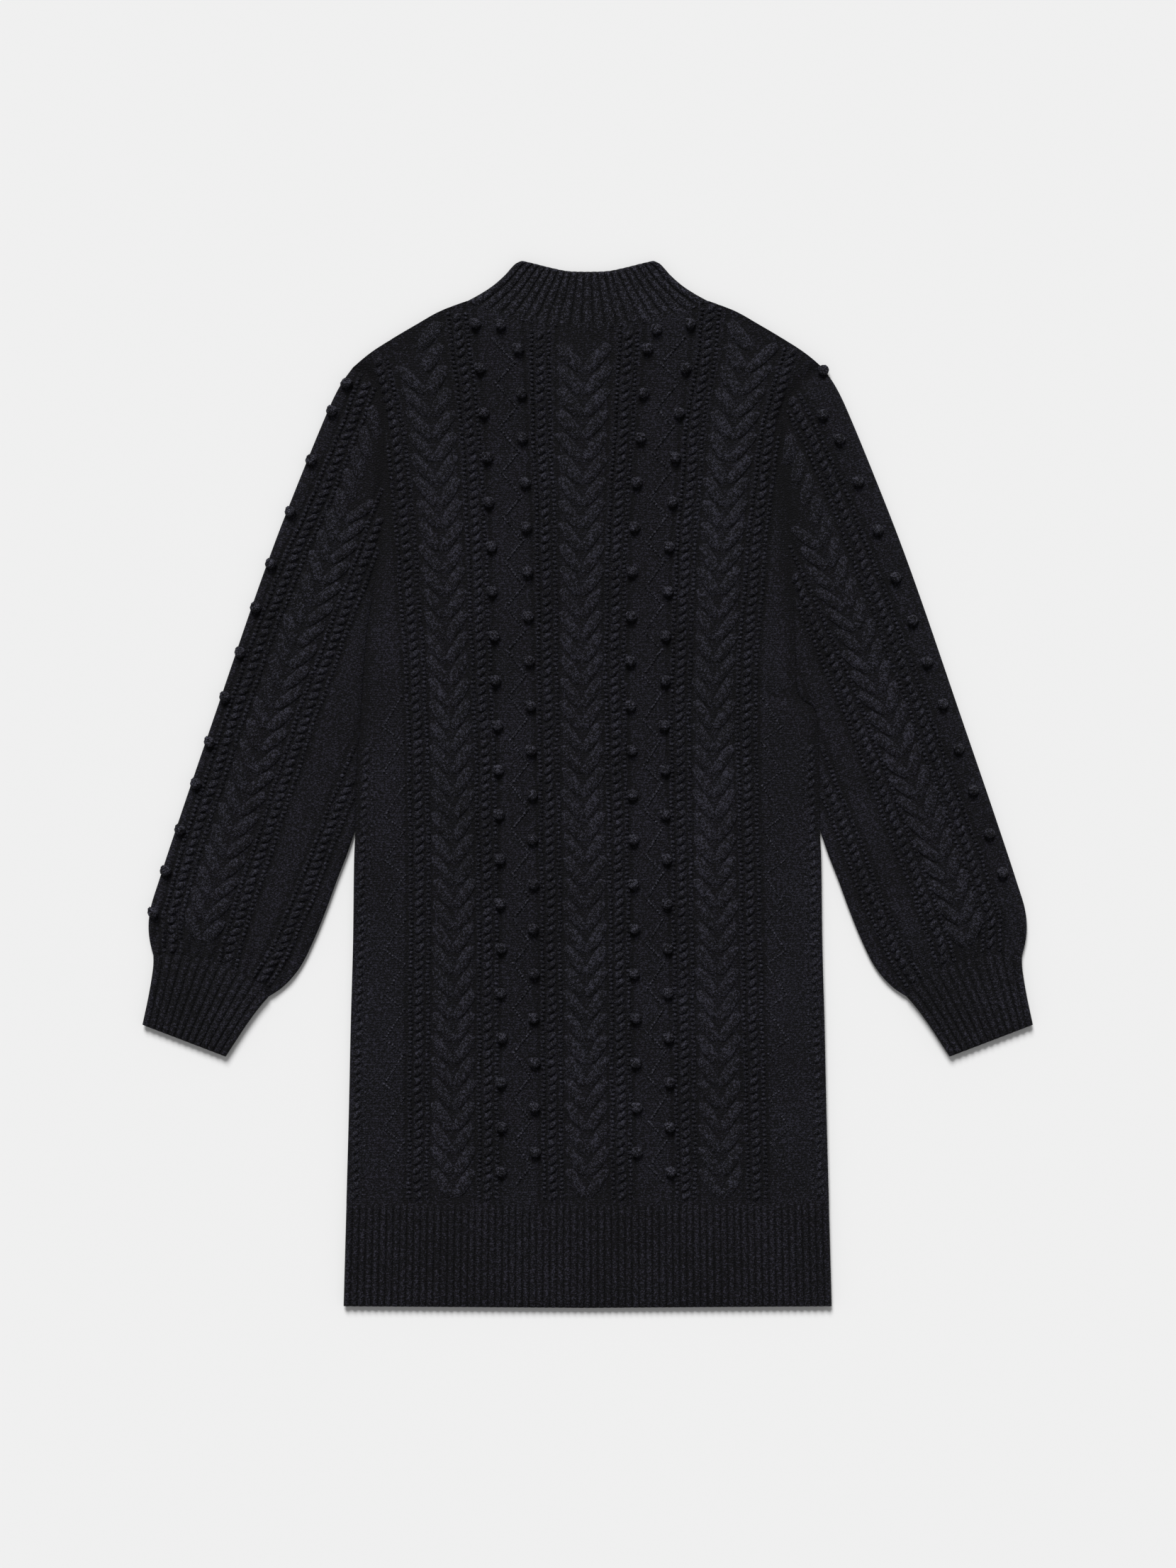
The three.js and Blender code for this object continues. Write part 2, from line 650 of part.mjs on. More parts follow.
// Closes a folded tube below its upper face. The four stretches run anticlockwise:
// a fold, an open end, the other fold and the other open end, each with the upper face's points
// and with the coarser line that the inside and the underside follow.
function closeTube(cloth, stretches) {
  const seams = stretches.map((stretch) => {
    if (stretch.fold) return null;
    const lines = { over: stretch.line, under: stretch.underLine ?? stretch.line };
    const ends = {};
    for (const [name, line] of Object.entries(lines)) {
      const total = lineLength(line);
      const inner = measured(line).filter((p) => p.level > TUBE_WALL + 1 && p.level < total - TUBE_WALL - 1);
      const first = { ...pointAt(line, TUBE_WALL), level: TUBE_WALL };
      const last = { ...pointAt(line, total - TUBE_WALL), level: total - TUBE_WALL };
      ends[name] = [first, ...inner, last];
    }
    const raise = (line, z) => line.map((p) => ({ ...cloth.point(p, z), level: p.level }));
    const total = lineLength(lines.under);
    const corners = [UNDER_TURN, total - UNDER_TURN].map((d) => ({ ...pointAt(lines.under, d), level: d }));
    const base = [corners[0], ...ends.under.slice(1, -1), corners[1]];
    return { over: raise(ends.over, CEILING), under: raise(ends.under, WALL), base: raise(base, 0) };
  });
  const slitOver = [];
  const slitUnder = [];
  const base = [];
  stretches.forEach((stretch, k) => {
    if (stretch.fold) {
      const before = seams[(k + 3) % 4];
      const after = seams[(k + 1) % 4];
      const inner = stretch.line.slice(1, -1);
      const inset = moved(stretch.line, TUBE_WALL).slice(1, -1);
      const turned = moved(stretch.line, UNDER_TURN).slice(1, -1);
      const levels = measured(stretch.line);
      const keep = inner.map((p, i) => i).filter((i) => {
        const level = levels[i + 1].level;
        return level > 2 * TUBE_WALL && level < levels[levels.length - 1].level - 2 * TUBE_WALL;
      });
      const over = keep.map((i) => cloth.point(inset[i], CEILING));
      const under = keep.map((i) => cloth.point(inset[i], WALL));
      const low = keep.map((i) => ({ ...cloth.point(turned[i], 0), level: levels[i + 1].level }));
      const wholeOver = [before.over[before.over.length - 1], ...over, after.over[0]];
      const wholeUnder = [before.under[before.under.length - 1], ...under, after.under[0]];
      for (let i = 0; i < wholeOver.length - 1; i += 1) {
        cloth.face(wholeOver[i], wholeOver[i + 1], wholeUnder[i]);
        cloth.face(wholeOver[i + 1], wholeUnder[i + 1], wholeUnder[i]);
      }
      const lowest = { ...before.base[before.base.length - 1], level: 0 };
      const total = levels[levels.length - 1].level;
      cloth.zip([lowest, ...low, { ...after.base[0], level: total }], measured(stretch.rim));
      slitOver.push(...over);
      slitUnder.push(...under);
      base.push(...low);
      return;
    }
    const seam = seams[k];
    const rim = measured(stretch.rim);
    const scale = (line, total) => {
      const whole = line[line.length - 1].level + line[0].level;
      return line.map((p) => ({ ...p, level: p.level / whole * total }));
    };
    cloth.zip(seam.over, rim);
    cloth.zip(scale(seam.base, 1), scale(seam.under, 1));
    const [rimStart, rimEnd] = [rim[0], rim[rim.length - 1]];
    const n = seam.over.length - 1;
    const m = seam.under.length - 1;
    cloth.face(rimStart, seam.base[0], seam.under[0]);
    cloth.face(rimStart, seam.under[0], seam.over[0]);
    cloth.face(rimEnd, seam.under[m], seam.base[m]);
    cloth.face(rimEnd, seam.over[n], seam.under[m]);
    slitOver.push(...seam.over);
    slitUnder.push(...seam.under);
    base.push(...seam.base);
  });
  cloth.flat(slitOver, false);
  cloth.flat(slitUnder, true);
  cloth.flat(base, false);
}

// A ribbed tube between an upper line and a lower line, both from left to right
function ribbedTube(name, shape, mirror) {
  const { upper, lower, sides, ribs, shares } = shape;
  const cloth = new Cloth();
  const columns = 2 * ribs;
  const upperLength = lineLength(upper);
  const lowerLength = lineLength(lower);
  const straight = (f, t) => {
    const a = pointAt(upper, f * upperLength);
    const b = pointAt(lower, f * lowerLength);
    return { x: a.x + (b.x - a.x) * t, y: a.y + (b.y - a.y) * t };
  };
  const bend = sides.map((side, k) => {
    const length = lineLength(side);
    return shares.map((t) => {
      const p = pointAt(side, t * length);
      const q = straight(k, t);
      return { x: p.x - q.x, y: p.y - q.y };
    });
  });
  const grid = [];
  for (let k = 0; k <= columns; k += 1) {
    const f = k / columns;
    const pull = [Math.max(0, 1 - f / 0.4) ** 2, Math.max(0, 1 - (1 - f) / 0.4) ** 2];
    grid.push(shares.map((t, row) => {
      const p = straight(f, t);
      const x = p.x + bend[0][row].x * pull[0] + bend[1][row].x * pull[1];
      const y = p.y + bend[0][row].y * pull[0] + bend[1][row].y * pull[1];
      const onFold = k === 0 || k === columns;
      const onEnd = row === 0 || row === shares.length - 1;
      const rise = k % 2 === 1 ? RIB_RISE : RIB_FALL;
      const z = onFold ? FOLD : FACE + (onEnd ? -1.6 : rise);
      return { ...cloth.point({ x, y }, z), level: row };
    }));
  }
  for (let k = 0; k < columns; k += 1) cloth.zip(grid[k], grid[k + 1]);
  const left = grid[0];
  const right = [...grid[columns]].reverse();
  const foot = grid.map((column) => column[column.length - 1]);
  const head = grid.map((column) => column[0]).reverse();
  closeTube(cloth, [
    { fold: true, rim: left, line: left },
    { fold: false, rim: foot, line: lower, underLine: shape.underLower },
    { fold: true, rim: right, line: right },
    { fold: false, rim: head, line: [...upper].reverse() },
  ]);
  return cloth.mesh(name, RIB_WOOL, mirror);
}

const HALF_GAP = SEAM_GAP / 2;
const neckLine = smoothLine(bothHalves(NECK_SEAM), COLLAR_RIBS);
const backNeckLine = smoothLine(bothHalves(BACK_NECK), COLLAR_RIBS);
const collarTopLine = smoothLine(bothHalves(COLLAR_TOP), COLLAR_RIBS);
const shoulderLine = smoothLine(SHOULDER, 8);
const hemSeamLine = smoothLine(bothHalves(HEM_SEAM), HEM_PARTS);
const hemEdgeLine = smoothLine(bothHalves(HEM_EDGE), HEM_PARTS);
const bodySide = {
  left: smoothLine(BODY_SIDE.left, 56),
  right: smoothLine(BODY_SIDE.right, 58),
};

// Middle line of the front, and how far a knitted line lies from it
function middleOf(y) {
  return lookUp(FRONT_LINES, 'y', y, 'middle');
}

function spanOf(out, y) {
  const rope = (name) => lookUp(FRONT_LINES, 'y', y, name);
  const { rope1, rope2, rope3 } = ROPE_AT;
  if (out <= rope1) return rope('rope1') * out / rope1;
  if (out <= rope2) return rope('rope1') + (rope('rope2') - rope('rope1')) * (out - rope1) / (rope2 - rope1);
  if (out <= rope3) return rope('rope2') + (rope('rope3') - rope('rope2')) * (out - rope2) / (rope3 - rope2);
  return rope('rope3') + out - rope3;
}

// Knitted lines of half the front, from its middle line outwards
function frontLines() {
  const top = -CHEVRON_START;
  const end = -HEM_RIB_TOP;
  const across = (out) => (level) => spanOf(out, -level);
  const plain = (out, rise) => ({ across: across(out), rows: evenRows(top, end, PLAIN_STEP, rise) });
  const rope = (at) => ropeLines((out) => across(at + out), (rise) => evenRows(top, end, PLAIN_STEP, rise));
  const arms = (lag, rise) => chevronRows(top + lag, end, rise);
  const cell = ({ at, half, first, besideNeck }) => {
    const centres = besideNeck ? [-besideNeck] : [];
    const lowest = end - 2 * SOFT_EDGE - BOBBLE_CELL;
    for (let level = -first; level < lowest; level += BOBBLE_PITCH) centres.push(level);
    const rows = bobbleRows(centres);
    return [
      { across: across(at - half), rows, cells: true },
      { across: across(at + half), rows, cells: true, carriesBobbles: true },
    ];
  };
  const { rope1, rope2, rope3 } = ROPE_AT;
  const sideMiddle = (rope2 + rope3) / 2;
  const sideArms = [across(sideMiddle - CHEVRON_HALF), across(sideMiddle + CHEVRON_HALF)];
  return [
    ...chevronLines([across(CHEVRON_HALF)], across(0), arms),
    ...rope(rope1),
    ...cell(FRONT_BOBBLES[0]),
    ...cell(FRONT_BOBBLES[1]),
    ...rope(rope2),
    ...chevronLines(sideArms, across(sideMiddle), arms),
    ...rope(rope3),
    ...[150, 157, 164, 171, 178, 185].map((out) => plain(out, 0)),
    plain(188, CORD_RISE),
    plain(190.6, GROOVE_RISE),
    { ...plain(194.6, ROPE_RISE * 0.6), clear: 2.4 },
  ];
}

// How far the tuck at the right underarm pulls the cloth down
function tuckDip(p) {
  const across = Math.min(1, Math.max(0, (p.x - TUCK.from) / TUCK.half));
  const along = Math.max(0, 1 - Math.abs(p.y - TUCK.y) / TUCK.half);
  return TUCK.dip * across * along;
}

function addTuckRows(lines) {
  return lines.map((line) => {
    if (line.across(-TUCK.y) < TUCK.from || line.lag) return line;
    const tuck = [-TUCK.half, 0, TUCK.half].map((d) => ({ level: -TUCK.y + d, rise: line.rows[0].rise }));
    const others = line.rows.filter((row) => Math.abs(row.level + TUCK.y) > TUCK.half + 3);
    const rows = [...others, ...tuck].sort((a, b) => a.level - b.level);
    return { ...line, rows };
  });
}

function buildFront() {
  const cloth = new Cloth();
  const neck = moved(neckLine, -HALF_GAP).map((p) => ({ ...p, z: SEAM_FACE }));
  const foot = moved(hemSeamLine, HALF_GAP).map((p) => ({ ...p, z: SEAM_FACE }));
  const middleAt = (line) => {
    const x = middleOf(line[Math.floor(line.length / 2)].y);
    return { x, y: heightAt(line, x), z: SEAM_FACE };
  };
  const middleTop = middleAt(neck);
  const middleLow = middleAt(foot);
  const halves = {};
  let centre = null;
  const outline = {};
  for (const [side, sign] of [['right', 1], ['left', -1]]) {
    const shoulder = sign > 0 ? shoulderLine : mirrorLine(shoulderLine);
    const body = sign > 0 ? bodySide.right : mirrorLine(bodySide.left);
    const seam = moved(body, -HALF_GAP * sign);
    const outer = [...shoulder.slice(1, -1), ...seam.slice(0, -1)].map((p) => ({ ...p, z: FRONT_EDGE }));
    const corner = { x: seam[seam.length - 1].x, y: foot[0].y, z: FRONT_EDGE };
    const half = (line) => {
      const own = line.filter((p) => sign * (p.x - middleOf(p.y)) > MIDDLE_ROOM);
      return sign > 0 ? own : own.reverse();
    };
    const neckHalf = half(neck);
    const footHalf = half(foot).slice(0, -1);
    const edge = [middleTop, ...neckHalf, ...outer, corner];
    const local = (p) => ({ level: -p.y, across: sign * (p.x - middleOf(p.y)) });
    const place = (level, across) => ({ x: middleOf(-level) + sign * across, y: -level });
    const lines = sign > 0 ? addTuckRows(frontLines()) : frontLines();
    cloth.mirrored = sign < 0;
    const dip = sign > 0 ? tuckDip : () => 0;
    const low = [middleLow, ...footHalf, corner];
    const panel = { edge, low, local, place, dip, top: -CHEVRON_START, shared: centre, lean: BOBBLE_LEAN };
    const done = knit(cloth, panel, lines);
    centre = done.firstLine;
    halves[side] = done;
    outline[side] = { neck: neckHalf, outer, corner, foot: footHalf };
  }
  cloth.mirrored = false;
  const rim = [
    ...[...halves.left.lowerEdge].reverse(),
    ...halves.right.lowerEdge.slice(1),
    ...[...halves.right.upperEdge].reverse().slice(1),
    ...halves.left.upperEdge.slice(1),
  ];
  const inside = [
    outline.left.corner,
    ...[...outline.left.foot].reverse(),
    ...outline.right.foot,
    outline.right.corner,
    ...[...outline.right.outer].reverse(),
    ...[...outline.right.neck].reverse(),
    ...outline.left.neck,
    ...outline.left.outer,
  ];
  const loop = inside.map((p) => cloth.point(p, CEILING));
  cloth.zip(measured([...loop, loop[0]]), measured(rim));
  cloth.flat(loop, false);
  return cloth.mesh('front', WOOL, false);
}

function buildBack() {
  const cloth = new Cloth();
  const neck = moved(backNeckLine, -HALF_GAP).reverse();
  const foot = moved(hemSeamLine, HALF_GAP);
  const right = moved(bodySide.right, -HALF_GAP);
  const left = moved(mirrorLine(bodySide.left), HALF_GAP);
  const outline = [
    { x: left[left.length - 1].x, y: foot[0].y },
    ...foot.slice(1, -1),
    { x: right[right.length - 1].x, y: foot[0].y },
    ...[...right.slice(0, -1)].reverse(),
    ...[...shoulderLine.slice(1, -1)].reverse(),
    ...neck,
    ...mirrorLine(shoulderLine.slice(1, -1)),
    ...left.slice(0, -1),
  ];
  const closed = [outline[outline.length - 1], ...outline, outline[0]];
  const inset = moved(closed, UNDER_TURN).slice(1, -1);
  const upper = outline.map((p) => cloth.point(p, WALL));
  const waist = outline.map((p) => cloth.point(p, WALL / 2));
  const base = inset.map((p) => cloth.point(p, 0));
  const around = (loop) => measured([...loop, loop[0]]).map((p, i) => ({ ...p, level: i }));
  cloth.zip(around(waist), around(upper));
  cloth.zip(around(base), around(waist));
  cloth.flat(upper, true);
  cloth.flat(base, false);
  return cloth.mesh('back', WOOL, false);
}

// From the sleeve's own measure to the left half of the dress, and back
const SIN = Math.sin(SLEEVE_TILT);
const COS = Math.cos(SLEEVE_TILT);

function fromSleeve(down, across) {
  const x = -SHOULDER_TIP.x - down * SIN + across * COS;
  const y = SHOULDER_TIP.y - down * COS - across * SIN;
  return { x, y };
}

function toSleeve(p) {
  const dx = p.x + SHOULDER_TIP.x;
  const dy = p.y - SHOULDER_TIP.y;
  return { level: -dx * SIN - dy * COS, across: dx * COS - dy * SIN };
}

function sleeveTable(table) {
  return table.map((row) => fromSleeve(row.down, row.across));
}

const cuffSeamLine = smoothLine(sleeveTable(CUFF_SEAM), CUFF_RIBS);
const sleeveOuterLine = smoothLine(sleeveTable(SLEEVE_OUTER), 48);

// Knitted lines of a sleeve, from its outer fold towards the body
function sleeveLines(side) {
  const end = SLEEVE_OUTER[SLEEVE_OUTER.length - 1].down + 2;
  const outer = (level) => lookUp(outerBySleeve, 'level', level, 'across');
  const line = (name) => (level) => lookUp(SLEEVE_LINES, 'down', level, name);
  const outRope = line(side === 'left' ? 'outL' : 'outR');
  const inRope = line(side === 'left' ? 'inL' : 'inR');
  const under = line('under');
  const rows = (rise) => [
    ...evenRows(6, GATHER.from, PLAIN_STEP, rise),
    ...evenRows(GATHER.from + 5, end, 13, rise),
  ];
  const rope = (at) => ropeLines((out) => (level) => at(level) + out, rows);
  const arms = (lag, rise) => chevronRows(4 + lag, end, rise);
  const plain = (across) => ({ across, rows: rows(0) });
  const bobbles = bobbleRows(SLEEVE_BOBBLES[side]);
  const near = (level) => SLEEVE_BOBBLES[side].some((at) => Math.abs(level - at) < BOBBLE_CELL + 3);
  const foldRows = evenRows(8, end - 6, 11, 0).filter((row) => side === 'right' || !near(row.level));
  const byLevel = (a, b) => a.level - b.level;
  const fold = { across: outer, fold: true };
  const arm = CORD_OUT + 3.4;
  const sides = [(level) => outRope(level) + arm, (level) => inRope(level) - arm];
  const middle = (level) => (outRope(level) + inRope(level)) / 2;
  const plainAt = (share) => (level) => {
    const from = inRope(level) + CORD_OUT + 2.6;
    return from + (under(level) - CORD_OUT - 2.6 - from) * share;
  };
  const start = side === 'left'
    ? [
      { ...fold, rows: [...foldRows, ...bobbles].sort(byLevel) },
      { across: (level) => outer(level) + 7, rows: bobbles, cells: true, carriesBobbles: true },
    ]
    : [
      { ...fold, rows: foldRows },
      plain((level) => outer(level) + 3.2),
      { across: (level) => outRope(level) - 25.9, rows: bobbles, cells: true },
      { across: (level) => outRope(level) - 17.1, rows: bobbles, cells: true, carriesBobbles: true },
    ];
  return [
    ...start,
    ...rope(outRope),
    ...chevronLines(sides, middle, arms),
    ...rope(inRope),
    ...[0, 0.2, 0.4, 0.6, 0.8, 1].map((share) => plain(plainAt(share))),
    ...rope(under),
    plain((level) => under(level) + CORD_OUT + 2.6),
  ];
}

const outerBySleeve = sleeveOuterLine.map(toSleeve);

function buildSleeve(side) {
  const cloth = new Cloth();
  const body = mirrorLine(bodySide[side]);
  const against = body.filter((p) => p.y >= PARTING_Y);
  const shared = moved(body, -HALF_GAP).slice(0, against.length);
  const underarm = shared.findIndex((p) => p.y < UNDERARM_Y);
  const free = smoothLine([body[against.length - 1], ...mirrorLine(SLEEVE_INNER)], 14).slice(1, -1);
  const seam = moved(cuffSeamLine, HALF_GAP);
  const tip = shared[0];
  const inner = [...shared, ...free];
  const heightAt = (i) => (i < underarm ? SEAM_FACE : FOLD);
  const edge = [...inner.map((p, i) => ({ ...p, z: i === 0 ? FOLD : heightAt(i) }))];
  const low = seam.map((p, i) => ({ ...p, z: i === 0 || i === seam.length - 1 ? FOLD : SEAM_FACE }));
  edge.push(low[low.length - 1]);
  const gather = (p, level) => {
    const share = Math.min(1, Math.max(0, (level - GATHER.from) / 30));
    return GATHER.rise * share * (1 + Math.cos(toSleeve(p).across / GATHER.pitch * 2 * Math.PI));
  };
  const lean = side === 'left' ? BOBBLE_LEAN : -BOBBLE_LEAN;
  const place = (level, across) => fromSleeve(level, across);
  const panel = { edge, low, local: toSleeve, place, dip: gather, top: 1, lean };
  const done = knit(cloth, panel, sleeveLines(side));
  const fromUnderarm = done.upperEdge.map((p) => Math.hypot(p.x - edge[underarm].x, p.y - edge[underarm].y));
  const split = fromUnderarm.indexOf(Math.min(...fromUnderarm));
  const coarse = edge.map((p, i) => (i === underarm ? done.upperEdge[split] : p));
  closeTube(cloth, [
    { fold: true, rim: done.firstLine.own, line: [tip, ...sleeveOuterLine.slice(1, -1), low[0]] },
    { fold: false, rim: done.lowerEdge, line: low },
    { fold: true, rim: done.upperEdge.slice(split).reverse(), line: coarse.slice(underarm).reverse() },
    { fold: false, rim: done.upperEdge.slice(0, split + 1).reverse(), line: coarse.slice(0, underarm + 1).reverse() },
  ]);
  return cloth.mesh(`sleeve_${side}`, WOOL, side === 'right');
}

function buildHemBand() {
  const upper = moved(hemSeamLine, -HALF_GAP);
  const lower = hemEdgeLine;
  const sides = [[upper[0], lower[0]], [upper[upper.length - 1], lower[lower.length - 1]]];
  const shares = [0, 0.05, 0.97, 1];
  return ribbedTube('hem_band', { upper, lower, sides, ribs: HEM_RIBS, shares }, false);
}

function buildCollar() {
  const lower = moved(neckLine, HALF_GAP);
  const underLower = moved(backNeckLine, HALF_GAP);
  const upper = collarTopLine;
  const side = smoothLine(COLLAR_SIDE, 10).reverse();
  const right = [upper[upper.length - 1], ...side.slice(1, -1), lower[lower.length - 1]];
  const left = [upper[0], ...mirrorLine(side).slice(1, -1), lower[0]];
  const shares = [0, 0.09, 0.3, 0.55, 0.8, 0.92, 1];
  const shape = { upper, lower, underLower, sides: [left, right], ribs: COLLAR_RIBS, shares };
  return ribbedTube('collar', shape, false);
}

function buildCuff(side) {
  const upper = moved(cuffSeamLine, -HALF_GAP);
  const outer = smoothLine(sleeveTable(CUFF_OUTER), 8);
  const inner = smoothLine(sleeveTable(CUFF_INNER), 8);
  const lower = [outer[outer.length - 1], inner[inner.length - 1]];
  const left = [upper[0], ...outer.slice(1)];
  const right = [upper[upper.length - 1], ...inner.slice(1)];
  const shares = [0, 0.07, 0.35, 0.65, 0.95, 1];
  const shape = { upper, lower, sides: [left, right], ribs: CUFF_RIBS, shares };
  return ribbedTube(`cuff_${side}`, shape, side === 'right');
}

const dress = new THREE.Group();
dress.add(buildFront(), buildBack(), buildHemBand(), buildCollar());
for (const side of ['left', 'right']) dress.add(buildSleeve(side), buildCuff(side));

export default dress;
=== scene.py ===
# %% [markdown]
# # A cable-knit sweater dress, laid flat
#
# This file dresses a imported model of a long-sleeved knitted dress. The dress lies on its back on a pale floor
# and is seen from straight above. On the real garment every raised line is made of stitches that cross over
# each other, so the lesson goes the same way: first the cloth of each panel, then the ropes, cords, chevrons
# and bobbles that stand on it, then the wool, the light and the camera.
#
# All sizes are in millimetres until a mesh is finished, because knitters and pattern cutters think in them.

import math

import bmesh
import bpy
import numpy as np
from mathutils import Matrix, Vector


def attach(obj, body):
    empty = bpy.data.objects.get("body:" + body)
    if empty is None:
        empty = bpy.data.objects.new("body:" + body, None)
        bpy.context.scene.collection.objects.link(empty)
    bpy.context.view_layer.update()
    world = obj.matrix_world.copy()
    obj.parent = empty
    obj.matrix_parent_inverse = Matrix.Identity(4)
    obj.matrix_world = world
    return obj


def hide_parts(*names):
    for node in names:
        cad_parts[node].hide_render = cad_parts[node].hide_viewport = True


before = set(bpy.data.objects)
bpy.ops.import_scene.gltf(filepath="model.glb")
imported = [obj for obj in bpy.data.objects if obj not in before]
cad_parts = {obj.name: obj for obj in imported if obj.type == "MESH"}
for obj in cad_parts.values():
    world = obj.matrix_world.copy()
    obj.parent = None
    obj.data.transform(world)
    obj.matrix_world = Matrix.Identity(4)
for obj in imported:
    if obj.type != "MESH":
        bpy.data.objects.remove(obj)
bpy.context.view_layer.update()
MM = 0.001

# %% [markdown]
# ## The outline
#
# A garment's outline is a handful of smooth lines: the neck, the shoulders, the armholes, the sides, the hem.
# Two pieces that are sewn together share one line, so each line is written down once as a short table and both
# pieces read it. A Catmull-Rom curve runs smoothly through such points; the centripetal kind never loops.

# %% Smooth lines through short tables
def smooth(rows, step=4.0):
    """Points about every step along a centripetal Catmull-Rom curve."""
    points = np.array(rows, float)
    points = np.vstack([2 * points[0] - points[1], points, 2 * points[-1] - points[-2]])
    pieces = []
    for a, b, c, d in zip(points[:-3], points[1:-2], points[2:-1], points[3:]):
        t1 = np.linalg.norm(b - a) ** 0.5
        t2 = t1 + np.linalg.norm(c - b) ** 0.5
        t3 = t2 + np.linalg.norm(d - c) ** 0.5
        count = max(2, int(np.linalg.norm(c - b) / step))
        t = np.linspace(t1, t2, count, endpoint=False)[:, None]
        ab = (t1 - t) / t1 * a + t / t1 * b
        bc = (t2 - t) / (t2 - t1) * b + (t - t1) / (t2 - t1) * c
        cd = (t3 - t) / (t3 - t2) * c + (t - t2) / (t3 - t2) * d
        abc = (t2 - t) / t2 * ab + t / t2 * bc
        bcd = (t3 - t) / (t3 - t1) * bc + (t - t1) / (t3 - t1) * cd
        pieces.append((t2 - t) / (t2 - t1) * abc + (t - t1) / (t2 - t1) * bcd)
    return np.vstack(pieces + [points[-2:-1]])


NECK = smooth([(0, 385.4), (22, 386.6), (38, 388.4), (54, 391.4), (73, 396.4), (88, 401.6), (102, 408.5)])
BACK_NECK = smooth([(0, 399), (40, 400.4), (75, 404), (102, 408.5)])
SHOULDER = smooth([(102, 408.5), (125, 399.7), (145, 388.4), (165, 376.6), (183, 365), (198.6, 352.4)])
COLLAR_TOP = smooth([(0, 433.2), (17, 433.8), (31, 436.6), (47, 440.6), (56, 442.6)])
COLLAR_SIDE = smooth([(56, 442.6), (61.5, 440), (69, 431.5), (80, 421.7), (91, 414.5), (102, 408.5)])
HEM_SEAM = smooth([(0, -356.4), (204, -354.4)])
HEM_EDGE = smooth([(0, -442.6), (206.4, -441.2)])
print("neck", len(NECK), "points, shoulder", len(SHOULDER), "points")

# %% [markdown]
# The two sides differ a little, as they do on any garment that somebody has laid down by hand: on the right the
# body is tucked under at the underarm and comes out again in one step below it.

# %% The sides of the body, from the shoulder tip to the hem band
LOWER_SIDE = [(196.4, -38.2), (197.4, -61), (198.4, -134), (200.4, -206), (201.8, -272), (204, -354.4)]
SIDE = {
    "left": smooth([(198.6, 352.4), (185.4, 345.8), (177.6, 335), (173.4, 321.8), (172.2, 303.8), (173, 279.8),
                    (173.2, 258.8), (173, 232.4), (175.6, 197.6), (181.2, 162.2), (185.6, 135), (189.6, 92),
                    (192, 50), (194.6, 21.2), (195.6, -7.6)] + LOWER_SIDE),
    "right": smooth([(198.6, 352.4), (186.4, 345), (176.4, 335), (168.8, 324), (165.2, 310), (164.6, 294),
                     (165.2, 274), (166.4, 250), (168.6, 222), (171, 192), (173, 162.2), (175.2, 130),
                     (176, 98), (178.6, 74), (191.6, 64), (194.6, 43), (195.4, 12)] + LOWER_SIDE),
}
SHOULDER_TIP = (198.6, 352.4)
UNDERARM_Y = 162.2
PARTING_Y = -38.2
HALF_GAP = 0.02


def both_halves(line):
    return np.vstack([line[::-1] * (-1, 1), line[1:]])


def across_line(line, x):
    """Height of a line that runs across the dress, at a distance from the middle."""
    return np.interp(np.abs(x), line[:, 0], line[:, 1])


def side_at(y, side):
    line = SIDE[side]
    return np.interp(-np.asarray(y), -line[:, 1], line[:, 0])


def body_half_width(y, x):
    """How far the side lies from the middle, on the side where x is."""
    return np.where(x < 0, side_at(y, "left"), side_at(y, "right"))


print("half width at the armholes:", side_at(300, "left").round(1), side_at(300, "right").round(1))

# %% [markdown]
# ## Heights
#
# The cloth is about 2.8 mm thick and the dress is two layers of it. A knitted edge doesn't end in a sharp
# corner: it rolls down over a few millimetres, in a quarter of an ellipse. Hand-laid cloth is also never quite
# even, so a few long, low waves of different lengths are added up. They never repeat within the dress.

# %% Wall heights, rolled edges and uneven lie
WALL = 2.8
SLIT = 0.4
CEILING = WALL + SLIT
FACE = CEILING + WALL
VALLEY = 2.1
EDGE_ROLL = 5.5


def roll(distance, width=EDGE_ROLL):
    share = np.clip(distance / width, 0, 1)
    return np.sqrt(1 - (1 - share) ** 2)


def valley(distance, width=6.0):
    """A soft dip on both sides of a line."""
    return np.exp(-(distance / width) ** 2)


def uneven(x, y):
    """A few tenths of a millimetre of rise and fall."""
    return (0.22 * np.sin(x / 23 + 1.3) * np.sin(y / 37 + 0.4)
            + 0.16 * np.sin((x + 0.7 * y) / 19 + 2.0)
            + 0.14 * np.sin((0.6 * x - y) / 29 + 4.1))


def distance_to(points, line):
    """Distance of many points from one line of points, a few thousand at a time."""
    a = line[:-1]
    step = line[1:] - a
    length = np.maximum((step ** 2).sum(1), 1e-9)
    found = []
    for block in np.array_split(points, max(1, len(points) // 4000)):
        away = block[:, None, :] - a[None]
        share = np.clip((away * step[None]).sum(2) / length, 0, 1)
        found.append(np.sqrt(((away - share[..., None] * step[None]) ** 2).sum(2)).min(1))
    return np.concatenate(found)


print("roll at 1, 3 and 5 mm from an edge:", roll(np.array([1.0, 3.0, 5.0])).round(2))

# %% [markdown]
# ## Creases
#
# Where a sleeve is sewn in, and where cloth is squeezed together, it forms soft troughs. Each one is written as
# a short line with a depth and a width, and its cross-section is a bell curve that fades out at both ends.

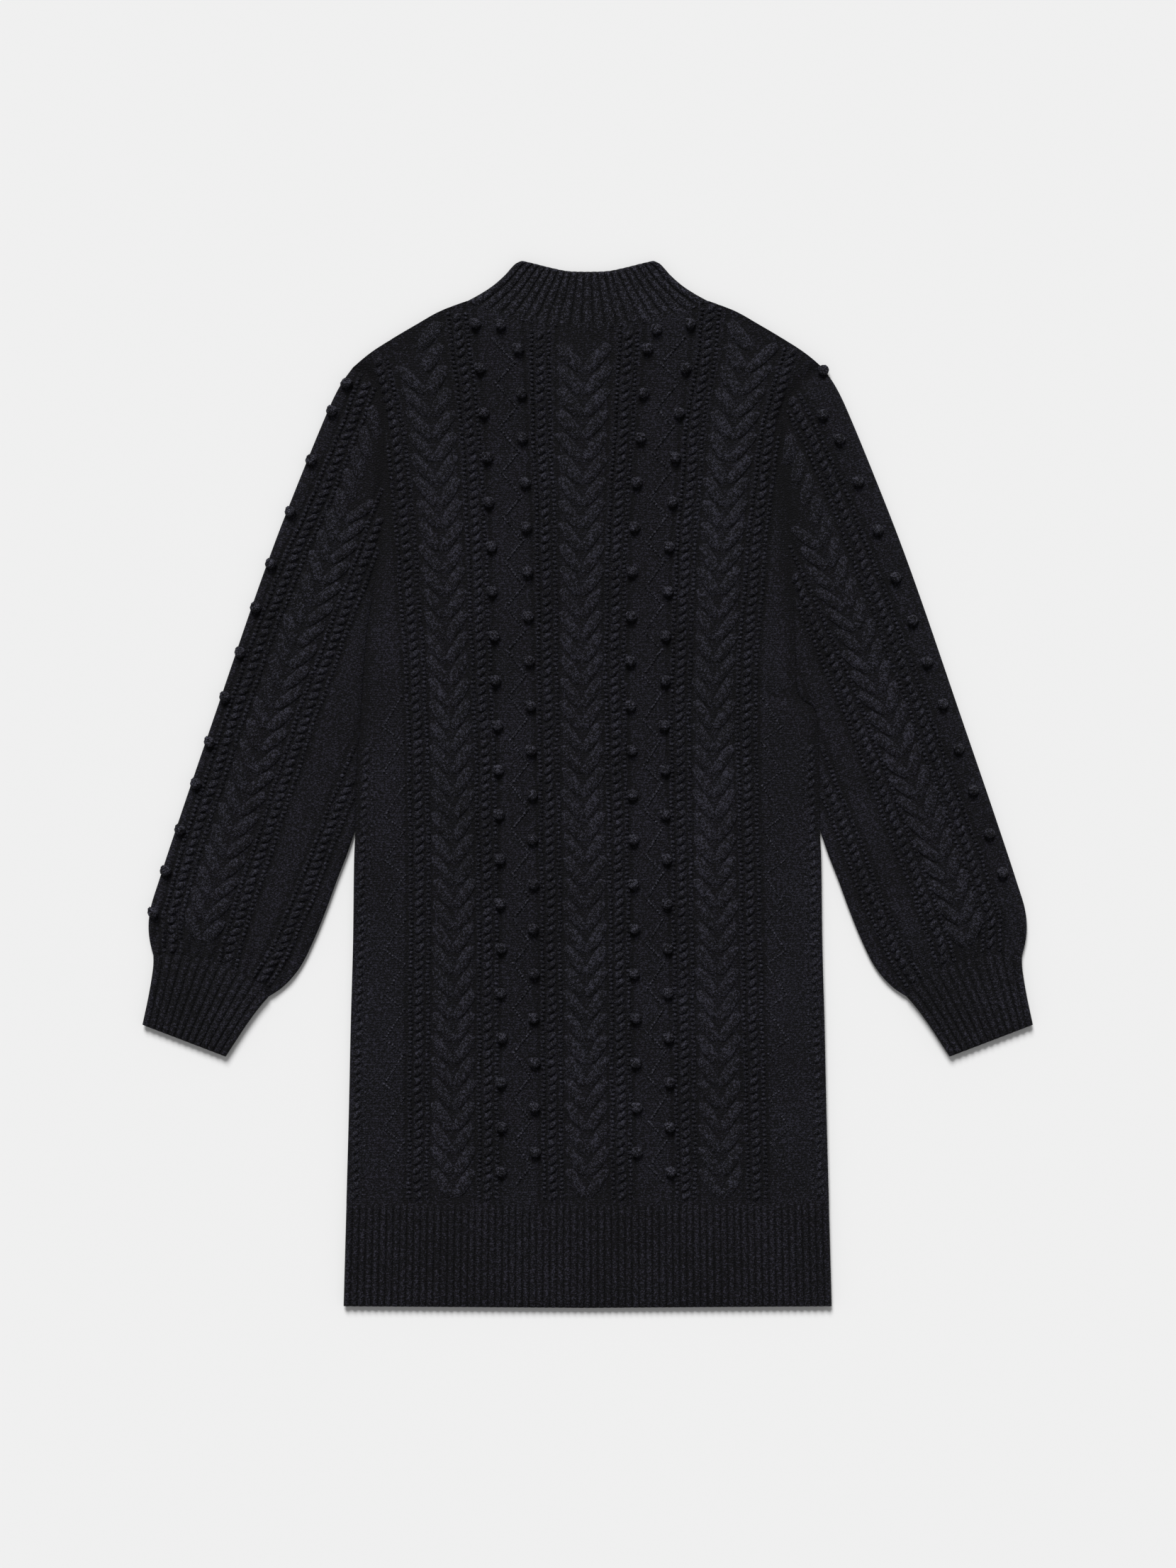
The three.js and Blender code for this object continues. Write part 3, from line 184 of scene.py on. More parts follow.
# %% Troughs listed as lines across the dress
CREASES = [
    # from x, y      to x, y        depth  width
    (150, 73, 178, 73, 1.5, 4.0),
    (128, 80, 160, 74, 0.7, 7.0),
    (160, 262, 120, 250, 0.6, 8.0),
    (-166, 250, -128, 236, 0.6, 9.0),
    (-170, 205, -120, 214, 0.6, 9.0),
    (168, 190, 118, 205, 0.6, 9.0),
    (-185, 130, -140, 150, 0.5, 9.0),
    (-120, 385, -168, 352, 0.7, 10.0),
    (120, 384, 170, 350, 0.7, 10.0),
    (-60, -120, -150, -160, 0.4, 16.0),
    (40, -180, 150, -150, 0.4, 18.0),
]


def creased(x, y, creases):
    total = np.zeros_like(x)
    for x0, y0, x1, y1, depth, width in creases:
        length = math.hypot(x1 - x0, y1 - y0)
        along = ((x - x0) * (x1 - x0) + (y - y0) * (y1 - y0)) / length ** 2
        aside = ((x - x0) * (y1 - y0) - (y - y0) * (x1 - x0)) / length
        fade = np.clip(1 - np.abs(along - 0.5) / 0.75, 0, 1) ** 1.5
        total += depth * fade * np.exp(-(aside / width) ** 2)
    return total


print(len(CREASES), "creases on the body")

# %% [markdown]
# ## Knitted lines of the front
#
# A knitter counts columns of stitches from the middle outwards. The lines fan out towards the shoulders, because
# the cloth was stretched there when the dress was laid down. So a place on the front is written as a column
# (how far out it is where the cloth isn't stretched) and a height, and one function turns that into x and y.

# %% From columns to places on the front
LINES = np.array([
    # y, middle, first rope, second rope, third rope
    (410, -3, 38, 108, 186),
    (364, -3, 37, 104, 176),
    (334, -3.6, 36, 99, 167),
    (304, -4.4, 35, 95, 159.6),
    (244, -4.8, 31.4, 91, 151.8),
    (196, -5.4, 29.6, 88, 147.6),
    (94, -5.6, 28.2, 84.2, 140),
    (34, -4.5, 28.6, 82.5, 138.9),
    (-86, -2.4, 28.8, 82.2, 139.4),
    (-326, -0.4, 29.2, 83.7, 143),
    (-360, -0.2, 29.2, 83.8, 143.6),
])
ROPES_AT = (28.8, 82.0, 139.5)
SIDE_CHEVRON = (ROPES_AT[1] + ROPES_AT[2]) / 2


def front_place(column, y):
    """x of a column, counted from the middle with its sign, at a height."""
    column = np.asarray(column, float)
    out = np.abs(column)
    middle, near, mid, far = (np.interp(-y, -LINES[:, 0], LINES[:, k]) for k in (1, 2, 3, 4))
    first, second, third = ROPES_AT
    x = np.where(out <= first, near * out / first, near + (mid - near) * (out - first) / (second - first))
    x = np.where(out > second, mid + (far - mid) * (out - second) / (third - second), x)
    x = np.where(out > third, far + out - third, x)
    return middle + np.sign(column) * x


def column_at(x, y):
    """The other way round: the column that lies at x."""
    columns = np.arange(-215, 215.5, 2.5)
    found = np.empty_like(x)
    order = np.argsort(y)
    for block in np.array_split(order, 200):
        level = y[block].mean() if len(block) else 0
        found[block] = np.interp(x[block], front_place(columns, np.full(len(columns), level)), columns)
    return found


print("third rope at y 300:", float(front_place(139.5, np.array(300.0))).__round__(1))

# %% [markdown]
# ## The sleeves' own measure
#
# Each sleeve hangs at a slant, so its places are written along the sleeve: how far down from the shoulder tip,
# and how far across towards the body. The right sleeve is worked out as a left one and mirrored.

# %% The outline of a sleeve, and places on it
TILT = math.radians(18.5)
SIN, COS = math.sin(TILT), math.cos(TILT)
SLEEVE_OUTER = smooth([(0, 0), (14, -4.4), (28, -7), (54, -9.4), (106, -12.8), (157, -15.4), (215, -16.8),
                       (310, -17.4), (405, -18), (462, -17.8), (489, -17), (505, -13.2), (516, -8), (525, -2.2)])
CUFF_SEAM = smooth([(525, -2.2), (516.6, 22), (513.6, 46), (516.6, 73), (526.8, 101.4)])
SLEEVE_FREE = [(202.6, -57), (211.6, -80.2), (220.4, -104.2), (230, -128.2), (241.6, -152.2), (250.6, -164.4),
               (260.4, -173.6), (269.4, -179.2)]


def from_sleeve(down, across):
    x = -SHOULDER_TIP[0] - down * SIN + across * COS
    y = SHOULDER_TIP[1] - down * COS - across * SIN
    return x, y


def to_sleeve(x, y):
    dx = x + SHOULDER_TIP[0]
    dy = y - SHOULDER_TIP[1]
    return -dx * SIN - dy * COS, dx * COS - dy * SIN


def sleeve_inner(side):
    """The edge that lies against the body, as down and across, and the row of the underarm."""
    line = SIDE[side]
    against = line[line[:, 1] >= PARTING_Y]
    free = smooth([tuple(against[-1])] + SLEEVE_FREE)[1:]
    edge = np.vstack([against, free])
    down, across = to_sleeve(-edge[:, 0], edge[:, 1])
    return np.column_stack([down, across - HALF_GAP]), int((against[:, 1] > UNDERARM_Y).sum())


SLEEVES = {}
for side in ("left", "right"):
    inner, underarm = sleeve_inner(side)
    reach = inner[underarm, 1]
    outer_at = np.interp(inner[:, 0], SLEEVE_OUTER[:, 0], SLEEVE_OUTER[:, 1])
    share = (inner[:underarm + 1, 1] - outer_at[:underarm + 1]) / (reach - outer_at[:underarm + 1])
    SLEEVES[side] = {"inner": inner, "underarm": underarm, "arm_share": np.maximum.accumulate(share)}
    print(side, "sleeve: underarm at", inner[underarm].round(1), "length", inner[-1].round(1))

# %% [markdown]
# A sleeve's columns start at the armhole and end at the cuff. Between those two ends a place is a share of the
# width, 0 on the outer fold and 1 on the inner one, and a share of its column's length.

# %% Inside, outside and the length of a sleeve's columns
def sleeve_outer_at(down):
    return np.interp(down, SLEEVE_OUTER[:, 0], SLEEVE_OUTER[:, 1])


def sleeve_inner_at(down, side):
    sleeve = SLEEVES[side]
    below = sleeve["inner"][sleeve["underarm"]:]
    return np.interp(down, below[:, 0], below[:, 1])


def sleeve_ends(share, side):
    """How far down a column starts, at the armhole, and ends, at the cuff."""
    sleeve = SLEEVES[side]
    arm = sleeve["inner"][:sleeve["underarm"] + 1, 0]
    start = np.interp(share, sleeve["arm_share"], arm)
    outer = sleeve_outer_at(CUFF_SEAM[:, 0])
    inner = sleeve_inner_at(CUFF_SEAM[:, 0], side)
    seam_share = (CUFF_SEAM[:, 1] - outer) / (inner - outer)
    end = np.interp(share, np.maximum.accumulate(seam_share), CUFF_SEAM[:, 0])
    return start, end - HALF_GAP


def sleeve_place(share, part, side):
    start, end = sleeve_ends(share, side)
    down = start + (end - start) * part
    outer = sleeve_outer_at(down)
    across = outer + share * (sleeve_inner_at(down, side) - outer)
    return down, across


print("a middle column runs from", [round(float(v), 1) for v in sleeve_ends(np.array(0.5), "left")])

# %% The sleeve's surface: rolled folds, dipped seams, gathers above the cuff
SLEEVE_CREASES = {
    "left": [(20, 60, 70, 8, 0.7, 8.0), (150, 70, 215, 20, 0.8, 9.0), (205, 76, 290, 40, 0.7, 10.0),
             (330, 118, 400, 70, 0.8, 10.0), (300, 8, 360, 46, 0.5, 10.0), (395, 118, 450, 84, 0.7, 9.0)],
    "right": [(26, 70, 80, 20, 0.7, 8.0), (130, 80, 190, 30, 0.9, 9.0), (225, 96, 262, 66, 1.4, 7.0),
              (262, 94, 330, 60, 0.8, 9.0), (320, 112, 385, 62, 0.7, 10.0), (400, 116, 452, 80, 0.7, 9.0)],
}
GATHER_FROM = 462.0


def sleeve_height(down, across, side):
    sleeve = SLEEVES[side]
    spots = np.column_stack([down, across])
    below = sleeve["inner"][sleeve["underarm"]:]
    armhole = sleeve["inner"][:sleeve["underarm"] + 1]
    fold = np.minimum(across - sleeve_outer_at(down), distance_to(spots, below))
    fold = np.where(down < sleeve["inner"][sleeve["underarm"], 0] * 0.9, across - sleeve_outer_at(down), fold)
    dip = VALLEY * valley(distance_to(spots, armhole))
    top = CEILING + (FACE - CEILING) * roll(fold, 8.0) - dip * roll(fold, 6.0)
    x, y = from_sleeve(down, across)
    pull = np.clip((down - GATHER_FROM) / 45, 0, 1)
    gathers = 0.9 * pull * (np.cos(across / 10.4 * 2 * math.pi) - 1) * roll(fold, 8.0)
    lie = (uneven(x, y) - creased(down, across, SLEEVE_CREASES[side])) * roll(fold, 12.0)
    return top + gathers + lie


print("height in the middle of the left sleeve:", sleeve_height(np.array([250.0]), np.array([40.0]), "left"))

# %% The front's surface
def upper_edge(x, neck):
    """Height at which the cloth ends at the top: shoulder seams outside the neck."""
    along = np.abs(x)
    return np.where(along < 102, across_line(neck, x), np.interp(along, SHOULDER[:, 0], SHOULDER[:, 1]))


def front_outline(neck):
    right = np.vstack([neck, SHOULDER[1:], SIDE["right"][1:]])
    left = np.vstack([neck, SHOULDER[1:], SIDE["left"][1:]]) * (-1, 1)
    hem = np.vstack([HEM_SEAM[::-1], HEM_SEAM * (-1, 1)])
    return np.vstack([right, hem[1:], left[::-1][1:]])


SEAMS = {"neck": both_halves(np.vstack([NECK, SHOULDER[1:]])), "hem": both_halves(HEM_SEAM)}
AGAINST_SLEEVE, FREE_SIDE = {}, {}
for side, sign in (("left", -1), ("right", 1)):
    line = SIDE[side] * (sign, 1)
    AGAINST_SLEEVE[side] = line[line[:, 1] >= PARTING_Y - 6]
    FREE_SIDE[side] = line[line[:, 1] <= PARTING_Y]


def from_sleeves(x, y):
    spots = np.column_stack([x, y])
    return np.minimum(distance_to(spots, AGAINST_SLEEVE["left"]), distance_to(spots, AGAINST_SLEEVE["right"]))


def front_base(x, y):
    """The cloth without its knitted furrows."""
    spots = np.column_stack([x, y])
    seam = np.minimum(distance_to(spots, SEAMS["neck"]), distance_to(spots, SEAMS["hem"]))
    free = np.minimum(distance_to(spots, FREE_SIDE["left"]), distance_to(spots, FREE_SIDE["right"]))
    armhole = from_sleeves(x, y)
    lie = (uneven(x, y) - creased(x, y, CREASES)) * roll(np.minimum(np.minimum(seam, free), armhole), 14.0)
    dip = VALLEY * valley(armhole) + 1.9 * (1 - roll(free))
    return np.maximum(FACE - dip + lie, CEILING + 0.6)


def furrows(from_rope):
    """Purl furrows beside a rope and outside its two cords, which sink back between the raised stitches."""
    away = np.abs(from_rope)
    return valley(away - 5.0, 1.1) + valley(away - 10.6, 1.5)


def under_chevrons(from_middle):
    """1 where the cloth only shows between a chevron's arms; a mask for painted shade there."""
    return 1 - roll(np.clip(np.abs(from_middle) - 13.0, 0, None), 5.0)


def front_furrows(x, y):
    column = column_at(x, y)
    return sum(furrows(np.abs(column) - rope) for rope in ROPES_AT)


def front_painted_shade(x, y):
    """Painted shade, from 0 to 1: darker colour in the furrows, between chevron arms and along the armhole."""
    column = column_at(x, y)
    chevrons = under_chevrons(column) + under_chevrons(np.abs(column) - SIDE_CHEVRON)
    return np.clip(0.7 * front_furrows(x, y) + 0.3 * chevrons + 0.55 * valley(from_sleeves(x, y), 7.0), 0, 1)


print("cloth in the middle of the front:", front_base(np.array([0.0]), np.array([0.0])).round(2))

# %% [markdown]
# ## Turning a grid into cloth
#
# `bmesh.ops.create_grid` gives a flat sheet of squares. Every corner of it knows its share across and its share
# along, and a placing function moves it to where the cloth lies. The same step writes a UV map that counts
# stitches instead of fractions: one unit across is one stitch, one unit along is one row. The wool's material
# reads that map, so its stitches follow the knitting wherever the cloth turns.

# %% A cloth grid with a map of its stitches
STITCH = 2.7
ROW = 2.0


def shares(bm):
    corners = np.array([vert.co[:2] for vert in bm.verts])
    return (corners[:, 0] + 1) / 2, (corners[:, 1] + 1) / 2


def map_stitches(bm, stitches, shade=None):
    """Writes the map, and each corner's painted shade where that is given."""
    layer = bm.loops.layers.uv.new("Stitches")
    if shade is not None:
        darkness = bm.verts.layers.float.new("shade")
        for vert, value in zip(bm.verts, shade):
            vert[darkness] = value
    for face in bm.faces:
        for loop in face.loops:
            loop[layer].uv = stitches[loop.vert.index]


def settle(bm, places):
    for vert, place in zip(bm.verts, places * MM):
        vert.co = place


def cloth_grid(columns, rows):
    bm = bmesh.new()
    bmesh.ops.create_grid(bm, x_segments=columns, y_segments=rows, size=1.0)
    bm.verts.index_update()
    return bm


trial = cloth_grid(4, 3)
print("a trial grid has", len(trial.verts), "corners and", len(trial.faces), "faces")
trial.free()

# %% [markdown]
# ## Wool
#
# The yarn is a near-black charcoal with a cold cast. What makes it read as wool isn't its colour but three
# things: light that is lost between the stitches, which is also painted into the colour as painted shade,
# flecks of lighter fibre among the dark ones, and stitches that are never quite the same. The stitches are a
# pattern worked out from the map of stitches, in node groups that every material shares. One group is a plain
# stitch, a V of two legs; the other is the purl side, rows of small bumps set like bricks.

# %% Small helpers for node groups
def new_group(name, inputs, outputs):
    group = bpy.data.node_groups.new(name, "ShaderNodeTree")
    for label, kind in inputs:
        group.interface.new_socket(name=label, in_out="INPUT", socket_type=kind)
    for label, kind in outputs:
        group.interface.new_socket(name=label, in_out="OUTPUT", socket_type=kind)
    start = group.nodes.new("NodeGroupInput")
    end = group.nodes.new("NodeGroupOutput")
    return group, start, end


def sums(tree, kind, first, second=None, third=None):
    """One Math node. Numbers are set on its sockets, and outputs are linked to them."""
    node = tree.nodes.new("ShaderNodeMath")
    node.operation = kind
    for socket, value in zip(node.inputs, (first, second, third)):
        if value is None:
            continue
        if isinstance(value, (int, float)):
            socket.default_value = value
        else:
            tree.links.new(value, socket)
    return node.outputs[0]


def split_map(tree, vector):
    node = tree.nodes.new("ShaderNodeSeparateXYZ")
    tree.links.new(vector, node.inputs[0])
    return node.outputs[0], node.outputs[1]


print("node helpers ready")

# %% The plain stitch: two slanted legs in each column
plain_stitch, start, end = new_group("plain stitch", [("Map", "NodeSocketVector")], [("Height", "NodeSocketFloat")])
across, along = split_map(plain_stitch, start.outputs["Map"])
spread = sums(plain_stitch, "ABSOLUTE", sums(plain_stitch, "MULTIPLY_ADD", sums(plain_stitch, "FRACT", across), 2.0, -1.0))
leg = sums(plain_stitch, "SINE", sums(plain_stitch, "MULTIPLY", spread, math.pi))
slant = sums(plain_stitch, "FRACT", sums(plain_stitch, "MULTIPLY_ADD", spread, 0.7, along))
bead = sums(plain_stitch, "SINE", sums(plain_stitch, "MULTIPLY", slant, math.pi))
bump = sums(plain_stitch, "POWER", sums(plain_stitch, "MULTIPLY", leg, bead), 0.6)
plain_stitch.links.new(bump, end.inputs["Height"])
print("plain stitch:", len(plain_stitch.nodes), "nodes")

# %% The purl side: bumps set like bricks
purl_stitch, start, end = new_group("purl stitch", [("Map", "NodeSocketVector")], [("Height", "NodeSocketFloat")])
across, along = split_map(purl_stitch, start.outputs["Map"])
odd_row = sums(purl_stitch, "MULTIPLY", sums(purl_stitch, "FLOOR", sums(purl_stitch, "MODULO", along, 2.0)), 0.5)
column = sums(purl_stitch, "FRACT", sums(purl_stitch, "ADD", across, odd_row))
hill = sums(purl_stitch, "SINE", sums(purl_stitch, "MULTIPLY", column, math.pi))
ridge = sums(purl_stitch, "SINE", sums(purl_stitch, "MULTIPLY", sums(purl_stitch, "FRACT", along), math.pi))
bump = sums(purl_stitch, "POWER", sums(purl_stitch, "MULTIPLY", hill, ridge), 0.7)
purl_stitch.links.new(bump, end.inputs["Height"])
print("purl stitch:", len(purl_stitch.nodes), "nodes")

# %% The yarn: uneven stitches, stray fibres, painted shade between the stitches
yarn, start, end = new_group(
    "yarn",
    [("Stitch", "NodeSocketFloat"), ("Deep", "NodeSocketColor"), ("Bright", "NodeSocketColor"),
     ("Stitch share", "NodeSocketFloat"), ("Shade", "NodeSocketFloat")],
    [("Colour", "NodeSocketColor"), ("Roughness", "NodeSocketFloat"), ("Height", "NodeSocketFloat")])
place = yarn.nodes.new("ShaderNodeTexCoord")


def fibre_noise(tree, source, scale, detail, roughness, curl=0.0, output="Fac"):
    noise = tree.nodes.new("ShaderNodeTexNoise")
    noise.inputs["Distortion"].default_value = curl
    noise.inputs["Scale"].default_value = scale
    noise.inputs["Detail"].default_value = detail
    noise.inputs["Roughness"].default_value = roughness
    tree.links.new(source.outputs["Object"], noise.inputs["Vector"])
    return noise.outputs[output]


fuzz = fibre_noise(yarn, place, 1150.0, 2.0, 0.6, curl=0.6)
tufts = fibre_noise(yarn, place, 480.0, 3.0, 0.65, curl=0.4)
patches = fibre_noise(yarn, place, 14.0, 2.0, 0.5)
stitch = sums(yarn, "MULTIPLY", start.outputs["Stitch"], start.outputs["Stitch share"])
relief = sums(yarn, "ADD", sums(yarn, "MULTIPLY_ADD", fuzz, 0.8, stitch), sums(yarn, "MULTIPLY", tufts, 1.6))
flecks = sums(yarn, "ADD", sums(yarn, "MULTIPLY", fuzz, 5.6), sums(yarn, "MULTIPLY", tufts, 6.0))
# Painted shade: low places of the stitch pattern pull the colour towards Deep; patches, fuzz and tufts are the yarn's
# own uneven tone.
shade = sums(yarn, "ADD", sums(yarn, "MULTIPLY_ADD", patches, 0.8, flecks), sums(yarn, "MULTIPLY_ADD", stitch, 0.6, -6.3))
# Painted shade: the piece's shade attribute darkens the colour further.
shade = sums(yarn, "SUBTRACT", shade, start.outputs["Shade"])
blend = yarn.nodes.new("ShaderNodeMix")
blend.data_type = "RGBA"
blend.clamp_factor = True
yarn.links.new(shade, blend.inputs["Factor"])
yarn.links.new(start.outputs["Deep"], blend.inputs["A"])
yarn.links.new(start.outputs["Bright"], blend.inputs["B"])
yarn.links.new(blend.outputs["Result"], end.inputs["Colour"])
yarn.links.new(sums(yarn, "MULTIPLY_ADD", fuzz, 0.2, 0.78), end.inputs["Roughness"])
yarn.links.new(relief, end.inputs["Height"])
print("yarn:", len(yarn.nodes), "nodes")

# %% No two stitches alike: the map itself wavers a little
uneven_map, start, end = new_group("uneven stitches", [("Map", "NodeSocketVector")], [("Map", "NodeSocketVector")])
place = uneven_map.nodes.new("ShaderNodeTexCoord")
waver = fibre_noise(uneven_map, place, 230.0, 2.0, 0.6, output="Color")
centred = uneven_map.nodes.new("ShaderNodeVectorMath")
centred.operation = "MULTIPLY_ADD"
centred.inputs[1].default_value = (1.9, 1.9, 0)
uneven_map.links.new(waver, centred.inputs[0])
uneven_map.links.new(start.outputs["Map"], centred.inputs[2])
uneven_map.links.new(centred.outputs[0], end.inputs["Map"])


# %% One finish for each kind of knitting, with painted light and shade in their brightness
def wool(name, stitch_group, deep, bright, stitch_share, depth):
    material = bpy.data.materials.new(name)
    material.use_nodes = True
    tree = material.node_tree
    shader = tree.nodes["Principled BSDF"]
    chart = tree.nodes.new("ShaderNodeUVMap")
    chart.uv_map = "Stitches"
    wavering = tree.nodes.new("ShaderNodeGroup")
    wavering.node_tree = uneven_map
    stitches = tree.nodes.new("ShaderNodeGroup")
    stitches.node_tree = stitch_group
    fibres = tree.nodes.new("ShaderNodeGroup")
    fibres.node_tree = yarn
    fibres.inputs["Deep"].default_value = (*deep, 1)
    fibres.inputs["Bright"].default_value = (*bright, 1)
    fibres.inputs["Stitch share"].default_value = stitch_share
    # Painted shade: each piece's shade attribute darkens the yarn's colour in furrows, seams and gaps.
    shaded = tree.nodes.new("ShaderNodeAttribute")
    shaded.attribute_name = "shade"
    tree.links.new(shaded.outputs["Fac"], fibres.inputs["Shade"])
    bump_node = tree.nodes.new("ShaderNodeBump")
    bump_node.inputs["Strength"].default_value = 1.0
    bump_node.inputs["Distance"].default_value = depth * MM
    tree.links.new(chart.outputs["UV"], wavering.inputs["Map"])
    tree.links.new(wavering.outputs["Map"], stitches.inputs["Map"])
    tree.links.new(stitches.outputs["Height"], fibres.inputs["Stitch"])
    tree.links.new(fibres.outputs["Height"], bump_node.inputs["Height"])
    tree.links.new(fibres.outputs["Colour"], shader.inputs["Base Color"])
    tree.links.new(fibres.outputs["Roughness"], shader.inputs["Roughness"])
    tree.links.new(bump_node.outputs["Normal"], shader.inputs["Normal"])
    shader.inputs["Specular IOR Level"].default_value = 0.2
    return material


# All these are the same charcoal yarn. The ground wool is darker, partly for the purl face and partly as painted shade
# on the cloth between the raised knitting; the strand wool is lighter, partly as painted light on the raised strands.
DEEP = (0.0012, 0.0011, 0.0019)
BRIGHT = (0.0275, 0.0265, 0.0400)
ground_wool = wool("ground wool", purl_stitch, DEEP, (0.0205, 0.0198, 0.0308), 0.5, 0.8)
strand_wool = wool("strand wool", plain_stitch, DEEP, (0.0370, 0.0365, 0.0530), 0.6, 0.8)
rib_wool = wool("rib wool", plain_stitch, DEEP, BRIGHT, 0.6, 0.8)
# Painted highlight: the bobbles and the lattice get a much lighter copy of the yarn, for the light they catch.
highlit_bobble_wool = wool("bobble wool", plain_stitch, (0.002, 0.0019, 0.003), (0.068, 0.067, 0.092), 0.9, 1.1)
# Painted light: the collar's ribs get a lighter copy of the rib wool than the hem band and cuffs, because more light
# falls near the top of the dress.
lit_collar_wool = wool("collar wool", plain_stitch, DEEP, (0.0410, 0.0405, 0.0585), 0.6, 0.8)
print("materials:", [m.name for m in bpy.data.materials])

# %% [markdown]
# ## Finishing a piece
#
# Every finished piece gets smooth shading, its wool and the body that it moves with. The imported solid that
# a piece stands for is hidden.

# %% Edges that stay crisp, such as the cut edge of a panel
def keep_crisp(bm):
    """Smooth shading would otherwise blur a corner into a dark line beside every seam."""
    for edge in bm.edges:
        if edge.is_manifold and edge.calc_face_angle() > math.radians(60):
            edge.smooth = False


# %% From a bmesh to a finished piece
def finish_piece(name, bm, material, instead_of=()):
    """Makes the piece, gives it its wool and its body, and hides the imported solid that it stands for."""
    bmesh.ops.recalc_face_normals(bm, faces=bm.faces[:])
    for face in bm.faces:
        face.smooth = True
    mesh = bpy.data.meshes.new(name)
    bm.to_mesh(mesh)
    bm.free()
    mesh.materials.append(material)
    piece = bpy.data.objects.new(name, mesh)
    bpy.context.scene.collection.objects.link(piece)
    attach(piece, "root")
    if instead_of:
        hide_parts(*instead_of)
    triangles = sum(len(p.vertices) - 2 for p in mesh.polygons)
    print(f"{name}: {triangles} triangles")
    return piece


# %% [markdown]
# ## The front and the back
#
# The front is a grid whose columns run from the neck and shoulders down to the hem band, and whose outermost
# columns lie along the sides. Its border is then extruded down to the inside of the cloth and filled, which
# gives a closed wall. The back is made in the same way, with a higher neck, and its outside rests on the floor.

# %% Placing the grid of a body panel
def panel_spots(u, v, neck):
    """Shares across and up the panel become x and y."""
    top_x = (2 * u - 1) * SHOULDER_TIP[0]
    top = upper_edge(top_x, neck) - HALF_GAP
    low = across_line(HEM_SEAM, top_x) + HALF_GAP
    y = low + (top - low) * v
    half = body_half_width(np.minimum(y, SHOULDER_TIP[1]), top_x) - HALF_GAP
    return (2 * u - 1) * half, y


def close_below(bm, height):
    """Extrudes the border of an open sheet down to a height and fills it."""
    border = [edge for edge in bm.edges if edge.is_boundary]
    made = bmesh.ops.extrude_edge_only(bm, edges=border)["geom"]
    corners = [item for item in made if isinstance(item, bmesh.types.BMVert)]
    for vert in corners:
        vert.co.z = height * MM
    rim = [item for item in made if isinstance(item, bmesh.types.BMEdge) and item.is_boundary]
    bmesh.ops.contextual_create(bm, geom=rim)
    keep_crisp(bm)


bm = cloth_grid(380, 180)
u, v = shares(bm)
x, y = panel_spots(u, v, NECK)
map_stitches(bm, np.column_stack([column_at(x, y) / STITCH, y / ROW]), front_painted_shade(x, y))
settle(bm, np.column_stack([x, y, front_base(x, y) - 0.7 * front_furrows(x, y)]))
close_below(bm, CEILING)
finish_piece("front_cloth", bm, ground_wool, ["front"])

# %% The back: flat where it rests, with a rounded outer edge
bm = cloth_grid(60, 96)
u, v = shares(bm)
x, y = panel_spots(u, v, BACK_NECK)
map_stitches(bm, np.column_stack([x / STITCH, y / ROW]))
edge = distance_to(np.column_stack([x, y]), front_outline(BACK_NECK))
settle(bm, np.column_stack([x, y, 1.3 * (1 - roll(edge, 2.5))]))
bmesh.ops.reverse_faces(bm, faces=bm.faces[:])
close_below(bm, WALL)
finish_piece("back_cloth", bm, ground_wool, ["back"])

# %% [markdown]
# ## Tubes: sleeves, cuffs, collar and hem band
#
# A sleeve laid flat is a flattened tube: two layers, joined by a fold at each side, with a thin slit between
# them. Topologically that is a ring, like a tyre that has been trodden flat: going across, the grid runs over the
# top and back underneath; going along, it runs down the outside and back up the inside. So one grid does all of
# it, and its first and last rows and columns are merged at the end.

# %% A flattened tube from one grid
TURN = 3.6
INSIDE_ROWS = 3


def thicker_at_ends(share, amount):
    """Moves evenly spread shares towards both ends, where a curve needs more faces."""
    return share + amount * (0.5 - 0.5 * np.cos(math.pi * share) - share)


def laid_area(place, steps=60):
    """Area in square mm that a placing function covers, summed over small patches."""
    share = np.linspace(0, 1, steps + 1)
    u, v = (grid.ravel() for grid in np.meshgrid(share, share))
    spots = place(u, v).reshape(steps + 1, steps + 1, 2)
    one, other = spots[1:, 1:] - spots[:-1, :-1], spots[1:, :-1] - spots[:-1, 1:]
    return np.abs(one[..., 0] * other[..., 1] - one[..., 1] * other[..., 0]).sum() / 2


